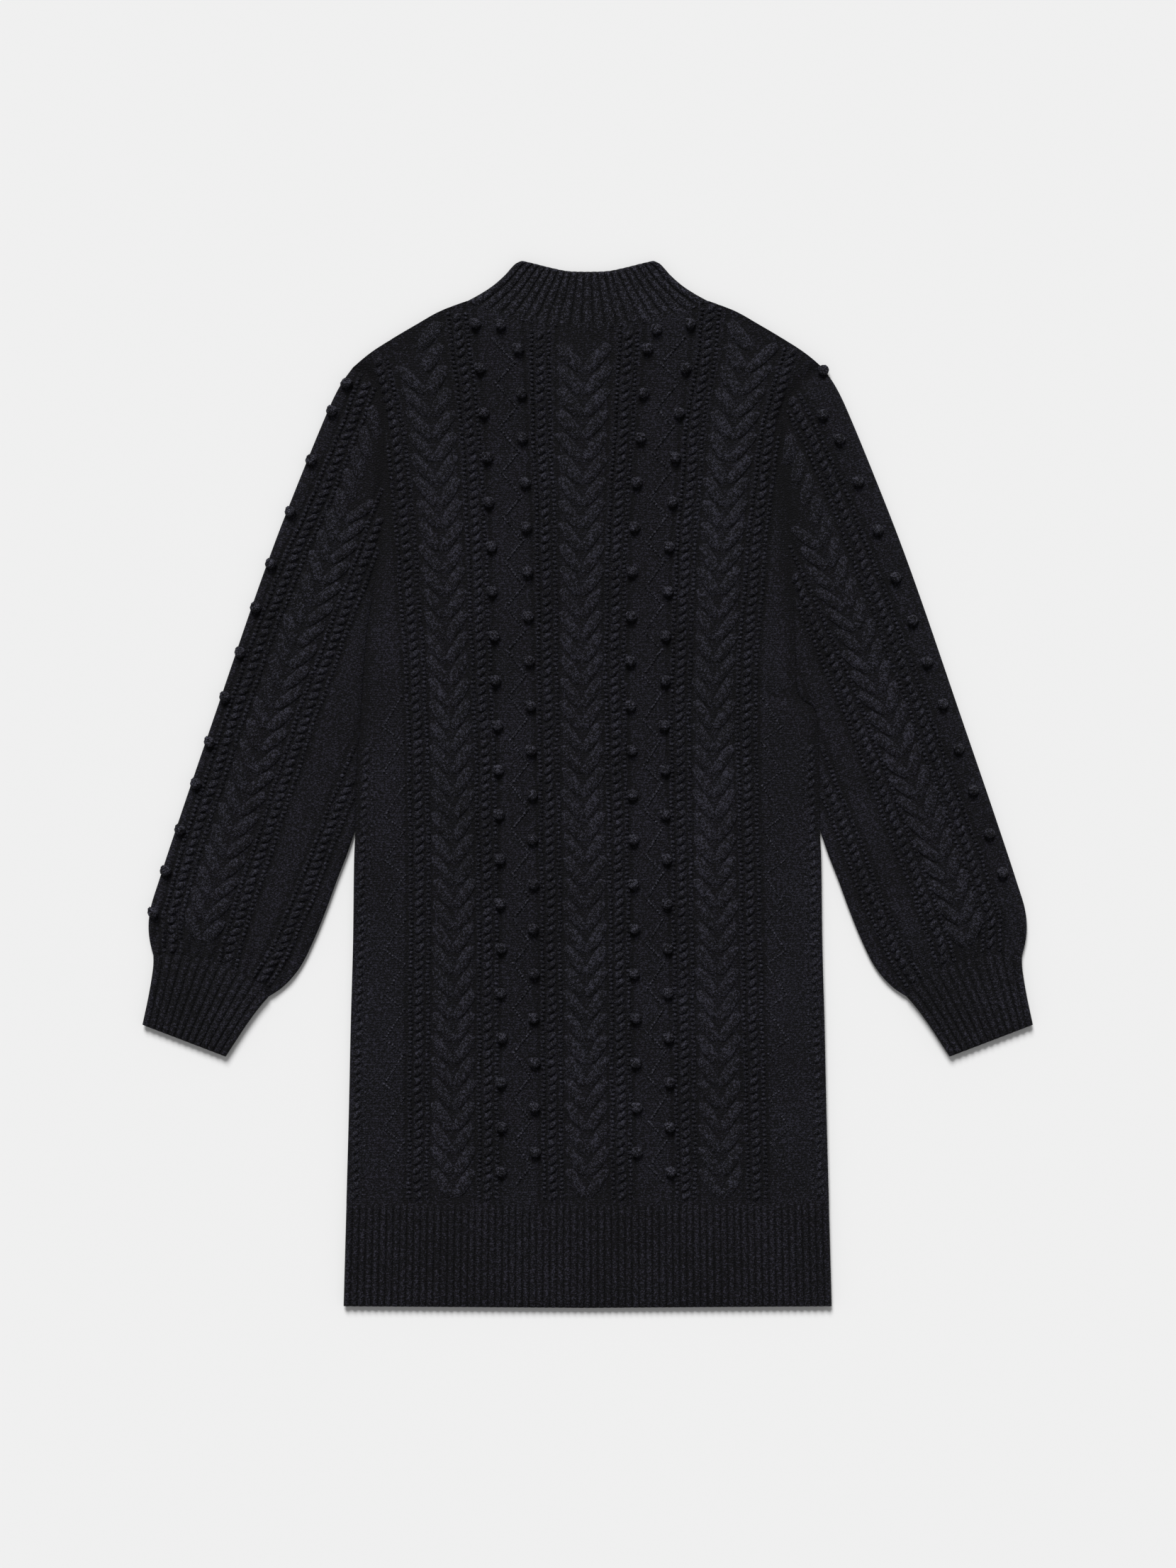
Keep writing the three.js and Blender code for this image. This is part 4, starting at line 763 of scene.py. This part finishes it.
def flat_tube(name, columns, rows, place, height, stitches, shade, material, node,
              under_place=None, crowd=0.5):
    over, under = columns
    across, along = over + under, rows + INSIDE_ROWS + 1
    bm = cloth_grid(across, along)
    s, t = shares(bm)
    ring = np.rint(s * across).astype(int) % across
    loop = np.rint(t * along).astype(int) % along
    top = ring <= over
    fold = (ring == 0) | (ring == over)
    inside = loop > rows
    u = np.where(top, ring / over, 1 - (ring - over) / under)
    v = np.where(inside, 1 - (loop - rows - 1) / (INSIDE_ROWS - 1), loop / rows)
    u, v = (u if crowd is None else thicker_at_ends(u, crowd)), thicker_at_ends(v, 0.35)
    spots = place(u, v)
    if under_place:
        spots = np.where(top[:, None] & ~fold[:, None], spots, under_place(u, v))
    width = np.linalg.norm(place(np.ones_like(u), v) - place(np.zeros_like(u), v), axis=1)
    kept_in = np.clip(u, TURN / width, 1 - TURN / width)
    inner_spots = place(kept_in, v)
    from_fold = np.minimum(u, 1 - u) * width
    z = np.where(top, height(u, v), (CEILING - 0.2) * (1 - roll(from_fold, 3.0)))
    z = np.where(top & ~fold, np.maximum(z, CEILING + 0.5), np.where(fold, CEILING, z))
    z_inside = np.where(fold, (WALL + CEILING) / 2, np.where(top, CEILING, WALL))
    spots = np.where(inside[:, None], inner_spots, spots)
    z = np.where(inside, z_inside, z)
    # Painted shade: the upper face takes the piece's own; the layer underneath and the slit's inside take a fixed 0.3.
    map_stitches(bm, stitches(u, v), np.where(top & ~inside, shade(u, v), 0.3))
    settle(bm, np.column_stack([spots, z]))
    bmesh.ops.remove_doubles(bm, verts=bm.verts[:], dist=0.005 * MM)
    keep_crisp(bm)
    2 * laid_area(place) * MM * MM
    return finish_piece(name, bm, material, [node])


print("tube maker ready")

# %% [markdown]
# The sleeves' ropes wander a little from the straight, so each is a line in a table: for some distances down the
# sleeve, how far across each rope lies. The furrows beside the ropes come from the same table.

# %% Knitted lines of the sleeves
SLEEVE_LINES = np.array([
    # down, left sleeve's outer and inner rope, right sleeve's outer and inner rope, underarm rope
    (0, 16, 70, 36, 92, 112),
    (60, 13.5, 65, 27, 88, 112),
    (100, 11, 63, 22.5, 84, 112),
    (160, 5, 61, 19.5, 79, 112),
    (220, 1, 58.5, 17, 72.5, 112),
    (290, -0.5, 56.5, 15, 67, 111),
    (370, -0.5, 57, 13.5, 64.5, 106),
    (440, 0, 57, 12, 61, 102.5),
    (490, 3, 57.5, 13, 60, 98),
    (528, 16, 61, 27, 62, 88),
])
SLEEVE_ROPES = {"left": (1, 2, 5), "right": (3, 4, 5)}


def sleeve_line(which, down):
    return np.interp(down, SLEEVE_LINES[:, 0], SLEEVE_LINES[:, which])


def sleeve_furrows(down, across, side):
    return sum(furrows(across - sleeve_line(which, down)) for which in SLEEVE_ROPES[side])


# %% The two sleeves
SLEEVE_COLUMNS = (110, 12)
SLEEVE_ROWS = 165


def mirrored(spots, side):
    return spots * (1, 1) if side == "left" else spots * (-1, 1)


for side in ("left", "right"):
    armhole = SLEEVES[side]["inner"][:SLEEVES[side]["underarm"] + 1]
    first, second = SLEEVE_ROPES[side][:2]

    def place(u, v):
        return mirrored(np.column_stack(from_sleeve(*sleeve_place(u, v, side))), side)

    def height(u, v):
        down, across = sleeve_place(u, v, side)
        return sleeve_height(down, across, side) - 0.7 * sleeve_furrows(down, across, side)

    def stitches(u, v):
        down, across = sleeve_place(u, v, side)
        return np.column_stack([across / STITCH, down / ROW])

    # Painted shade on the sleeve: darker colour in the furrows beside the ropes, between the chevron arms and along
    # the armhole valley.
    def shade(u, v):
        down, across = sleeve_place(u, v, side)
        middle = (sleeve_line(first, down) + sleeve_line(second, down)) / 2
        shade_at_seam = valley(distance_to(np.column_stack([down, across]), armhole), 7.0)
        return 0.7 * sleeve_furrows(down, across, side) + 0.3 * under_chevrons(across - middle) + 0.55 * shade_at_seam

    flat_tube(f"sleeve_{side}_cloth", SLEEVE_COLUMNS, SLEEVE_ROWS, place, height, stitches, shade,
              ground_wool, f"sleeve_{side}")

# %% [markdown]
# The collar, the cuffs and the hem band are ribbed. A rib is a column of plain stitches that stands up between
# two columns that sink back, so the crest is round and the furrow is narrow. The columns are shared out evenly
# along the upper and the lower edge, which makes the collar's ribs fan out by themselves.

# %% Ribs between two lines
def along_line(line, share):
    lengths = np.concatenate([[0], np.cumsum(np.linalg.norm(np.diff(line, axis=0), axis=1))])
    return np.column_stack([np.interp(share * lengths[-1], lengths, line[:, k]) for k in (0, 1)])


def fan(upper, lower, left, right):
    """Places between two lines, bent near both ends so that they follow the sides."""
    def place(u, v):
        a, b = along_line(upper, u), along_line(lower, u)
        spots = a + (b - a) * v[:, None]
        for side_line, end, near in ((left, 0, 1 - u / 0.4), (right, 1, 1 - (1 - u) / 0.4)):
            start, stop = along_line(upper, np.array([end])), along_line(lower, np.array([end]))
            bend = along_line(side_line, v) - (start + (stop - start) * v[:, None])
            spots = spots + bend * (np.clip(near, 0, 1) ** 2)[:, None]
        return spots
    return place


RIB_CREST = 0.8
RIB_FURROW = -1.0


def rib_height(ribs, length, from_seam):
    """The ribs grow out of the level cloth at their seam and roll down at the other, free end."""
    def height(u, v):
        v = v if from_seam == "start" else 1 - v
        swell = np.abs(np.sin(math.pi * ribs * u)) ** 0.75
        grown = roll(v * length, 9.0)
        return FACE + grown * (RIB_FURROW + (RIB_CREST - RIB_FURROW) * swell) - 1.6 * (1 - roll((1 - v) * length, 3.5))
    return height


# Painted shade in the narrow furrow between two ribs, darkest where a rib sinks back.
def rib_painted_shade(ribs):
    def shade(u, v):
        return 0.8 * (1 - np.abs(np.sin(math.pi * ribs * u))) ** 1.5
    return shade


def rib_stitches(ribs, length):
    def stitches(u, v):
        return np.column_stack([ribs * u, v * length / ROW])
    return stitches


RIB_COLUMNS = 6
print("rib helpers ready")

# %% The hem band
HEM_RIBS = 71
HEM_LENGTH = 86.5
upper, lower = both_halves(HEM_SEAM) - (0, HALF_GAP), both_halves(HEM_EDGE)
place = fan(upper, lower, np.array([upper[0], lower[0]]), np.array([upper[-1], lower[-1]]))
flat_tube("hem_band_cloth", (HEM_RIBS * RIB_COLUMNS, 60), 22, place,
          rib_height(HEM_RIBS, HEM_LENGTH, "start"), rib_stitches(HEM_RIBS, HEM_LENGTH),
          rib_painted_shade(HEM_RIBS), rib_wool, "hem_band", crowd=None)

# %% The collar, whose lower layer ends higher up, at the back of the neck
COLLAR_RIBS = 21
COLLAR_LENGTH = 52.0
upper = both_halves(COLLAR_TOP)
left, right = COLLAR_SIDE * (-1, 1), COLLAR_SIDE
place = fan(upper, both_halves(NECK) + (0, HALF_GAP), left, right)
under_place = fan(upper, both_halves(BACK_NECK) + (0, HALF_GAP), left, right)
flat_tube("collar_cloth", (COLLAR_RIBS * 10, 40), 24, place,
          rib_height(COLLAR_RIBS, COLLAR_LENGTH, "end"), rib_stitches(COLLAR_RIBS, COLLAR_LENGTH),
          rib_painted_shade(COLLAR_RIBS), lit_collar_wool, "collar", under_place=under_place, crowd=None)

# %% The two cuffs
CUFF_RIBS = 13
CUFF_LENGTH = 62.0
CUFF_OUTER = smooth([(525, -2.2), (533, 0.4), (556, 4.4), (583.4, 7.6)])
CUFF_INNER = smooth([(526.8, 101.4), (538, 96.8), (556, 91), (586.6, 83)])
for side in ("left", "right"):
    place_along = fan(CUFF_SEAM + (HALF_GAP, 0), np.array([CUFF_OUTER[-1], CUFF_INNER[-1]]), CUFF_OUTER, CUFF_INNER)

    def place(u, v):
        spots = place_along(u, v)
        return mirrored(np.column_stack(from_sleeve(spots[:, 0], spots[:, 1])), side)

    flat_tube(f"cuff_{side}_cloth", (CUFF_RIBS * 8, 20), 24, place,
              rib_height(CUFF_RIBS, CUFF_LENGTH, "start"), rib_stitches(CUFF_RIBS, CUFF_LENGTH),
              rib_painted_shade(CUFF_RIBS), rib_wool, f"cuff_{side}", crowd=None)

# %% [markdown]
# ## Raised knitting
#
# A rope cable is two strands that cross again and again, so from above it is a row of slanting lobes. A cord is
# one column of twisted stitches, a row of small beads. The chevrons are pairs of strands that travel down and
# inwards. Each of these is a small shape repeated at a fixed pitch, and that is just what an Array modifier does.
# It repeats along a straight line in the knitting's own measure, and afterwards every point is moved onto the
# cloth. The knitting bends and fans with the panel, and no lobe has to be placed by hand.

# %% One egg-shaped bump, with a map that runs along it
ROOT = -2.0


def add_egg(bm, size, turn=0.0, at=(0, 0, 0), segments=(8, 4)):
    """size is across, along and high, in mm; turn is in degrees. Below the cloth's face it is cut flat."""
    layer = bm.loops.layers.uv.get("Stitches") or bm.loops.layers.uv.new("Stitches")
    made = bmesh.ops.create_uvsphere(bm, u_segments=segments[0], v_segments=segments[1], radius=0.5)["verts"]
    for vert in made:
        vert.co = Vector(c * s for c, s in zip(vert.co, size))
        for loop in vert.link_loops:
            loop[layer].uv = (vert.co.x / STITCH, vert.co.y / ROW)
    bmesh.ops.rotate(bm, verts=made, cent=(0, 0, 0), matrix=Matrix.Rotation(math.radians(turn), 3, "Z"))
    bmesh.ops.translate(bm, verts=made, vec=at)
    for vert in made:
        vert.co.z = max(vert.co.z, ROOT)


def shape_of(name, bm):
    mesh = bpy.data.meshes.new(name)
    bm.to_mesh(mesh)
    bm.free()
    shape = bpy.data.objects.new(name, mesh)
    bpy.context.scene.collection.objects.link(shape)
    print(name, "has", len(mesh.polygons), "faces")
    return shape


# %% The repeated shapes: rope lobe, cord bead and bobble
ROPE_PITCH = 7.5
CORD_OUT = 7.5
CORD_PITCH = 3.75
CHEVRON_PITCH = 18.85

bm = bmesh.new()
add_egg(bm, (6.6, 12.0, 8.6), turn=-42, at=(0, 0, -2.0), segments=(8, 7))
rope_lobe = shape_of("rope lobe", bm)

bm = bmesh.new()
add_egg(bm, (5.0, 4.3, 5.6), at=(0, 0, -1.6), segments=(6, 5))
cord_bead = shape_of("cord bead", bm)

bm = bmesh.new()
add_egg(bm, (9.6, 9.2, 7.8), at=(0, 0, 2.5), segments=(10, 6))
add_egg(bm, (5.0, 5.4, 4.4), turn=25, at=(-1.8, 2.0, 4.4), segments=(6, 4))
add_egg(bm, (4.8, 5.4, 4.2), turn=-30, at=(2.2, 1.2, 4.1), segments=(6, 4))
bobble_head = shape_of("bobble", bm)

# %% [markdown]
# A chevron's arm starts at the outside, where it comes out from under the arm above it, turns in and runs down
# to the middle. It is an egg drawn out along a curve: a point's place along the egg picks a spot on the curve,
# and its place across is measured square to it. Both the ends and the cross-section are made blunter than an
# egg's, because knitted arms lie close together with only a narrow furrow between them.

# %% The chevron's two arms, each a shape of its own
ARM_START = (16.2, 7.2)
ARM_END = (0.0, -19.2)
ARM_WIDTH = 11.2
ARM_HEIGHT = 5.6
ARM_SUNK = 1.9
ARM_TURN = 1.15


def bend_arm(verts, side):
    fall = ARM_END[1] - ARM_START[1]
    inwards = ARM_END[0] - ARM_START[0]
    for vert in verts:
        across, along, high = vert.co
        share = min(max(0.5 - along, 0.0), 1.0)
        ring = max(math.hypot(across, high) / 0.5, 0.05)
        blunt = ((abs(across) ** 3 + abs(high) ** 3) ** (1 / 3) / 0.5 / ring) if ring > 0.06 else 1.0
        full = ring ** -0.5 / max(blunt, 0.6)
        a = ARM_START[0] + inwards * share ** ARM_TURN
        b = ARM_START[1] + fall * share
        slope = inwards * ARM_TURN * max(share, 0.02) ** (ARM_TURN - 1)
        size = math.hypot(slope, fall)
        off = across * full * ARM_WIDTH
        arch = 0.7 * math.sin(math.pi * share) ** 0.6 - ARM_SUNK
        lift = max(high * full * ARM_HEIGHT + arch, ROOT)
        vert.co = Vector((side * (a - off * fall / size), b + off * slope / size, lift))


arms = {}
for side in (-1, 1):
    bm = bmesh.new()
    layer = bm.loops.layers.uv.new("Stitches")
    arm = bmesh.ops.create_uvsphere(bm, u_segments=8, v_segments=8, radius=0.5)["verts"]
    bmesh.ops.rotate(bm, verts=arm, cent=(0, 0, 0), matrix=Matrix.Rotation(math.radians(90), 3, "X"))
    for vert in arm:
        for loop in vert.link_loops:
            loop[layer].uv = (vert.co.x * ARM_WIDTH / STITCH, vert.co.y * 30 / ROW)
    bend_arm(arm, side)
    arms[side] = shape_of("left arm" if side < 0 else "right arm", bm)


# %% Repeating a shape and laying it on the cloth
def repeated(shape, count, pitch):
    array = shape.modifiers.new("repeat", "ARRAY")
    array.use_relative_offset = False
    array.use_constant_offset = True
    array.constant_offset_displace = (0, -pitch, 0)
    array.count = count
    graph = bpy.context.evaluated_depsgraph_get()
    mesh = bpy.data.meshes.new_from_object(shape.evaluated_get(graph))
    shape.modifiers.clear()
    return mesh


def lay(piece, shape, count, pitch, place):
    """Adds a run of shapes to a bmesh; place turns across, along and high into x, y and z."""
    mesh = repeated(shape, int(count), pitch)
    points = np.empty(len(mesh.vertices) * 3)
    mesh.vertices.foreach_get("co", points)
    across, along, high = points.reshape(-1, 3).T
    mesh.vertices.foreach_set("co", (np.column_stack(place(across, along, high)) * MM).ravel())
    piece.from_mesh(mesh)
    bpy.data.meshes.remove(mesh)


def longest_run(levels, fits):
    """The longest row of levels that all fit."""
    best = (0, 0)
    start = None
    for k, good in enumerate(list(fits) + [False]):
        if good and start is None:
            start = k
        if not good and start is not None:
            best = max(best, (k - start, start))
            start = None
    return levels[best[1]:best[1] + best[0]]


print("run helpers ready")


# %% Places on the front
def clear_of_seams(x, y):
    """Distance to the nearest edge of the front, measured across or along."""
    at_side = body_half_width(y, x) - np.abs(x)
    return np.minimum(np.minimum(at_side, upper_edge(x, NECK) - y), y - across_line(HEM_SEAM, x))


def front_run(column, pitch, clearance, first=402.0, last=-356.0):
    levels = np.arange(first, last, -pitch)
    fits = clear_of_seams(front_place(column, levels), levels) > clearance
    return longest_run(levels, fits)


def on_front(column, first, offset=0.0, fanned=False, wander=0.35):
    def place(across, along, high):
        y = first + along
        x = front_place(column, y) + wander * np.sin(y / 13 + column) + wander * 0.6 * np.sin(y / 5.3 + 2 * column)
        if fanned:
            wide = (front_place(column + 11, y) - front_place(column - 11, y)) / 22
            x = x + (across + offset) * wide
        else:
            x = x + across + offset
        swell = 1 + 0.07 * np.sin(y / 7.7 + 3 * column)
        return x, y, front_base(x, y) + high * swell
    return place


front_ropes, front_cords, front_chevrons = bmesh.new(), bmesh.new(), bmesh.new()
for rope in (-ROPES_AT[2], -ROPES_AT[1], -ROPES_AT[0], *ROPES_AT):
    levels = front_run(rope, ROPE_PITCH, 5.5)
    lay(front_ropes, rope_lobe, len(levels), ROPE_PITCH, on_front(rope, levels[0]))
    for out in (-CORD_OUT, CORD_OUT):
        beads = np.arange(levels[0] + 3, levels[-1] - 4, -CORD_PITCH)
        beads = longest_run(beads, clear_of_seams(front_place(rope, beads) + out, beads) > 3.2)
        lay(front_cords, cord_bead, len(beads), CORD_PITCH, on_front(rope, beads[0], offset=out))
print("ropes and cords laid on the front")

# %% Rope and cord that come out at each side below the waist
EDGE_ROPE = 7.0
EDGE_CORD = 13.6


def beside_edge(side, inside_by, first):
    sign = -1 if side == "left" else 1

    def place(across, along, high):
        y = first + along
        x = sign * (side_at(y, side) - inside_by) + across
        return x, y, front_base(x, y) + high - 0.6
    return place


for side in ("left", "right"):
    levels = np.arange(28.0 if side == "left" else 30.0, -349, -ROPE_PITCH)
    lay(front_ropes, rope_lobe, len(levels), ROPE_PITCH, beside_edge(side, EDGE_ROPE, levels[0]))
    beads = np.arange(levels[0], -350, -CORD_PITCH)
    lay(front_cords, cord_bead, len(beads), CORD_PITCH, beside_edge(side, EDGE_CORD, beads[0]))
print("edge ropes laid")

# %% Chevrons on the front: every arm that has room, up to the seams
CHEVRON_TOP = 404.0
ARM_ROOM = 1.2


def arm_levels(column, side, top):
    levels = np.arange(top, -370, -CHEVRON_PITCH)
    fits = np.ones(len(levels), bool)
    for across, along in (ARM_START, (ARM_START[0] * 0.9, ARM_START[1] + 4), ARM_END, (3.0, ARM_END[1] - 2)):
        y = levels + along
        wide = (front_place(column + 11, y) - front_place(column - 11, y)) / 22
        fits &= clear_of_seams(front_place(column, y) + side * across * wide, y) > ARM_ROOM
    return longest_run(levels, fits)


for column in (0.0, -SIDE_CHEVRON, SIDE_CHEVRON):
    for side in (-1, 1):
        levels = arm_levels(column, side, CHEVRON_TOP)
        lay(front_chevrons, arms[side], len(levels), CHEVRON_PITCH,
            on_front(column, levels[0], fanned=True, wander=0.5))
front_rope_piece = finish_piece("front_ropes", front_ropes, strand_wool)
front_cord_piece = finish_piece("front_cords", front_cords, strand_wool)
front_chevron_piece = finish_piece("front_chevrons", front_chevrons, strand_wool)

# %% [markdown]
# ## Bobbles
#
# A bobble is a few stitches worked back and forth in one place until they make a knob. It hangs on a narrow
# neck, so it flops over: here all of them lean to the left. They stand in two rows beside each pair of cords and
# are half a step apart.

# %% Bobbles on the front
BOBBLE_PITCH = 37.7
BOBBLE_LEAN = -2.2
BOBBLES = {42.5: (368.3, 19), 70.0: (389.5, 20)}
BESIDE_NECK = [(-54.0, 388.5), (48.0, 384.5)]


def leaning(place):
    def leant(across, along, high):
        x, y, z = place(across, along, high)
        return x + BOBBLE_LEAN * np.clip(high / 6.3, 0, 1.2), y - 0.6 * np.clip(high / 6.3, 0, 1), z
    return leant


front_bobbles = bmesh.new()
for column, (first, count) in BOBBLES.items():
    for side in (-1, 1):
        lay(front_bobbles, bobble_head, count, BOBBLE_PITCH, leaning(on_front(side * column, first)))
for column, level in BESIDE_NECK:
    lay(front_bobbles, bobble_head, 1, BOBBLE_PITCH, leaning(on_front(column, level)))
front_bobble_piece = finish_piece("front_bobbles", front_bobbles, highlit_bobble_wool)

# %% [markdown]
# Between the bobbles, and more faintly on the plain panels at the sides, a single stitch wanders to and fro and
# makes a lattice. It is a run of small, slim beads laid along each straight stretch.

# %% The lattice between the bobbles and beside the outer ropes
LATTICE_PITCH = 2.7
bm = bmesh.new()
add_egg(bm, (2.5, 3.7, 4.0), at=(0, 0, -0.7), segments=(6, 5))
lattice_bead = shape_of("lattice bead", bm)


def lattice_points(column, first, count, inwards, below):
    return [(column + inwards, first - BOBBLE_PITCH * k - below) for k in range(count)]


def between(start, stop, place_flat):
    """Lays along across to a straight stretch between two places."""
    (x0, y0), (x1, y1) = start, stop
    length = math.hypot(x1 - x0, y1 - y0)
    ux, uy = (x1 - x0) / length, (y1 - y0) / length

    def place(across, along, high):
        forward = -along
        return place_flat(x0 + ux * forward - uy * across, y0 + uy * forward + ux * across, high)
    return place, int(length / LATTICE_PITCH)


def flat_on_front(column, y, high):
    x = front_place(column, y)
    return x, y, front_base(x, y) + high


def lower_on_front(column, y, high):
    return flat_on_front(column, y, high - 0.35)


near, far = BOBBLES[42.5], BOBBLES[70.0]
outer_rope = ROPES_AT[-1]
zigzags = [
    (lattice_points(42.5, *near, 9.5, 13) + lattice_points(70, *far, -4, 12), flat_on_front),
    (lattice_points(-70, *far, 9.5, 13) + lattice_points(-42.5, *near, -4, 12), flat_on_front),
    (lattice_points(outer_rope, 73.8, 11, 12.5, 0) + lattice_points(outer_rope, 48.3, 11, 29, 0), lower_on_front),
    (lattice_points(-outer_rope, 73.8, 11, -12.5, 0) + lattice_points(-outer_rope, 48.3, 11, -29, 0), lower_on_front),
]
front_lattice = bmesh.new()
for points, place_flat in zigzags:
    points = sorted(points, key=lambda p: -p[1])
    points = [p for p in points if p[1] > -345]
    for start, stop in zip(points, points[1:]):
        place, count = between(start, stop, place_flat)
        lay(front_lattice, lattice_bead, count, LATTICE_PITCH, place)
front_lattice_piece = finish_piece("front_lattice", front_lattice, highlit_bobble_wool)

# %% Places and runs on a sleeve
def clear_on_sleeve(down, across, side):
    """Distance from a sleeve's folds and seams."""
    outer, inner = sleeve_outer_at(down), sleeve_inner_at(down, side)
    start, end = sleeve_ends((across - outer) / (inner - outer), side)
    at_fold = np.minimum(across - outer, inner - across)
    return np.minimum(at_fold, np.minimum(down - start, end - down))


def on_sleeve(line, first, side, offset=0.0, scale=1.0, wander=0.35):
    """line gives the distance across for a distance down; the knitting runs down from first."""
    turned = 1 if side == "left" else -1

    def place(across, along, high):
        down = first - along
        lying = line(down) + (turned * across + offset) * scale
        lying = lying + wander * np.sin(down / 13 + first) + wander * 0.6 * np.sin(down / 5.3)
        x, y = from_sleeve(down, lying)
        return turned * x, y, sleeve_height(down, lying, side) + high
    return place


def sleeve_run(line, side, pitch, clearance, first=4.0):
    levels = np.arange(first, 526, pitch)
    return longest_run(levels, clear_on_sleeve(levels, line(levels), side) > clearance)


print("sleeve helpers ready")

# %% Ropes, cords, chevrons and bobbles on both sleeves
SLEEVE_BOBBLES = {
    "left": [14, 40, 85, 132, 179, 218, 258, 298, 338, 375, 416, 453, 490],
    "right": [62, 101, 145, 188, 227, 264, 302, 342, 379, 418, 453],
}
AT_SHOULDER = {"left": [], "right": [(200.4, 350.3), (199.6, 312.6)]}
for side in ("left", "right"):
    ropes, cords, chevrons, bobbles = (bmesh.new() for _ in range(4))
    for which in SLEEVE_ROPES[side]:
        def line(down):
            return sleeve_line(which, down)

        levels = sleeve_run(line, side, ROPE_PITCH, 4.6)
        lay(ropes, rope_lobe, len(levels), ROPE_PITCH, on_sleeve(line, levels[0], side))
        for out in (-CORD_OUT, CORD_OUT):
            def beside(down):
                return sleeve_line(which, down) + out

            beads = sleeve_run(beside, side, CORD_PITCH, 3.0)
            lay(cords, cord_bead, len(beads), CORD_PITCH, on_sleeve(beside, beads[0], side))

    first_rope, second_rope = SLEEVE_ROPES[side][:2]

    def middle(down):
        return (sleeve_line(first_rope, down) + sleeve_line(second_rope, down)) / 2

    turned = 1 if side == "left" else -1
    room = (sleeve_line(second_rope, 200.0) - sleeve_line(first_rope, 200.0)) / 2 - 10.4
    scale = room / 18.2
    for arm_side in (-1, 1):
        levels = np.arange(-6.0, 526, CHEVRON_PITCH)
        fits = np.ones(len(levels), bool)
        for across, along in (ARM_START, ARM_END):
            down = levels - along * scale
            at = middle(down) + turned * arm_side * across * scale
            fits &= clear_on_sleeve(down, at, side) > ARM_ROOM
        levels = longest_run(levels, fits)
        lay(chevrons, arms[arm_side], len(levels), CHEVRON_PITCH,
            on_sleeve(middle, levels[0], side, scale=scale, wander=0.5))

    for level in SLEEVE_BOBBLES[side]:
        def at_bobble(down):
            if side == "left":
                return sleeve_outer_at(down) + 4.2
            return sleeve_line(first_rope, down) - 21.5

        lay(bobbles, bobble_head, 1, BOBBLE_PITCH, leaning(on_sleeve(at_bobble, level, side)))
    for x, y in AT_SHOULDER[side]:
        level, across = to_sleeve(-x, y)
        lay(bobbles, bobble_head, 1, BOBBLE_PITCH, leaning(on_sleeve(lambda down: across, level, side)))
    finish_piece(f"sleeve_{side}_ropes", ropes, strand_wool)
    finish_piece(f"sleeve_{side}_cords", cords, strand_wool)
    finish_piece(f"sleeve_{side}_chevrons", chevrons, strand_wool)
    finish_piece(f"sleeve_{side}_bobbles", bobbles, highlit_bobble_wool)

for shape in (rope_lobe, cord_bead, bobble_head, lattice_bead, *arms.values()):
    bpy.data.objects.remove(shape)
print("knitting laid on both sleeves")


# %% [markdown]
# ## The floor, the light and the camera
#
# The dress lies on a pale, seamless floor that is lit almost to white, so the floor reads as plain background
# with only a soft shade around the hem. The key light is a low, soft sun beyond the collar and a little to
# the left: grazing light is what makes knitting readable, because every bobble and every cord then has one lit
# side and one dark side. An evenly bright room lights the other side.

# %% The floor
bpy.ops.mesh.primitive_plane_add(size=6.0, location=(0, 0, -0.0006))
floor = bpy.context.object
floor.name = "floor"
pale = bpy.data.materials.new("pale floor")
pale.use_nodes = True
paper = pale.node_tree.nodes["Principled BSDF"]
paper.inputs["Base Color"].default_value = (0.86, 0.86, 0.86, 1)
paper.inputs["Roughness"].default_value = 0.95
paper.inputs["Specular IOR Level"].default_value = 0.05
floor.data.materials.append(pale)
print("floor made")

# %% [markdown]
# ## Sheets of cloth
#
# Every knitted panel and tube is a sheet that lies on what is below it. For a panel the flat size is the panel
# itself, and for a tube it is the cut all round, which is twice the area that shows.


# %% A low sun through a wide window, and a bright room
lamp = bpy.data.lights.new("key", "SUN")
lamp.energy = 3.6
lamp.angle = math.radians(26)
key = bpy.data.objects.new("key", lamp)
key.rotation_euler = (-Vector((-0.14, 0.76, 0.64))).to_track_quat("-Z", "Y").to_euler()
bpy.context.scene.collection.objects.link(key)
world = bpy.data.worlds.new("room")
bpy.context.scene.world = world
world.use_nodes = True
world.node_tree.nodes["Background"].inputs["Color"].default_value = (1.0, 1.0, 1.0, 1)
world.node_tree.nodes["Background"].inputs["Strength"].default_value = 0.28
bpy.context.scene.view_settings.view_transform = "Standard"

# %% The camera looks straight down
CAMERA_HEIGHT = 3.134
lens = bpy.data.cameras.new("camera")
lens.lens = 85.0
lens.sensor_fit = "VERTICAL"
lens.sensor_height = 36.0
camera = bpy.data.objects.new("camera", lens)
camera.location = (0.0003, 0.00024, CAMERA_HEIGHT)
bpy.context.scene.collection.objects.link(camera)
bpy.context.scene.camera = camera
print("frame height at the floor:", round(CAMERA_HEIGHT * lens.sensor_height / lens.lens, 3), "m")
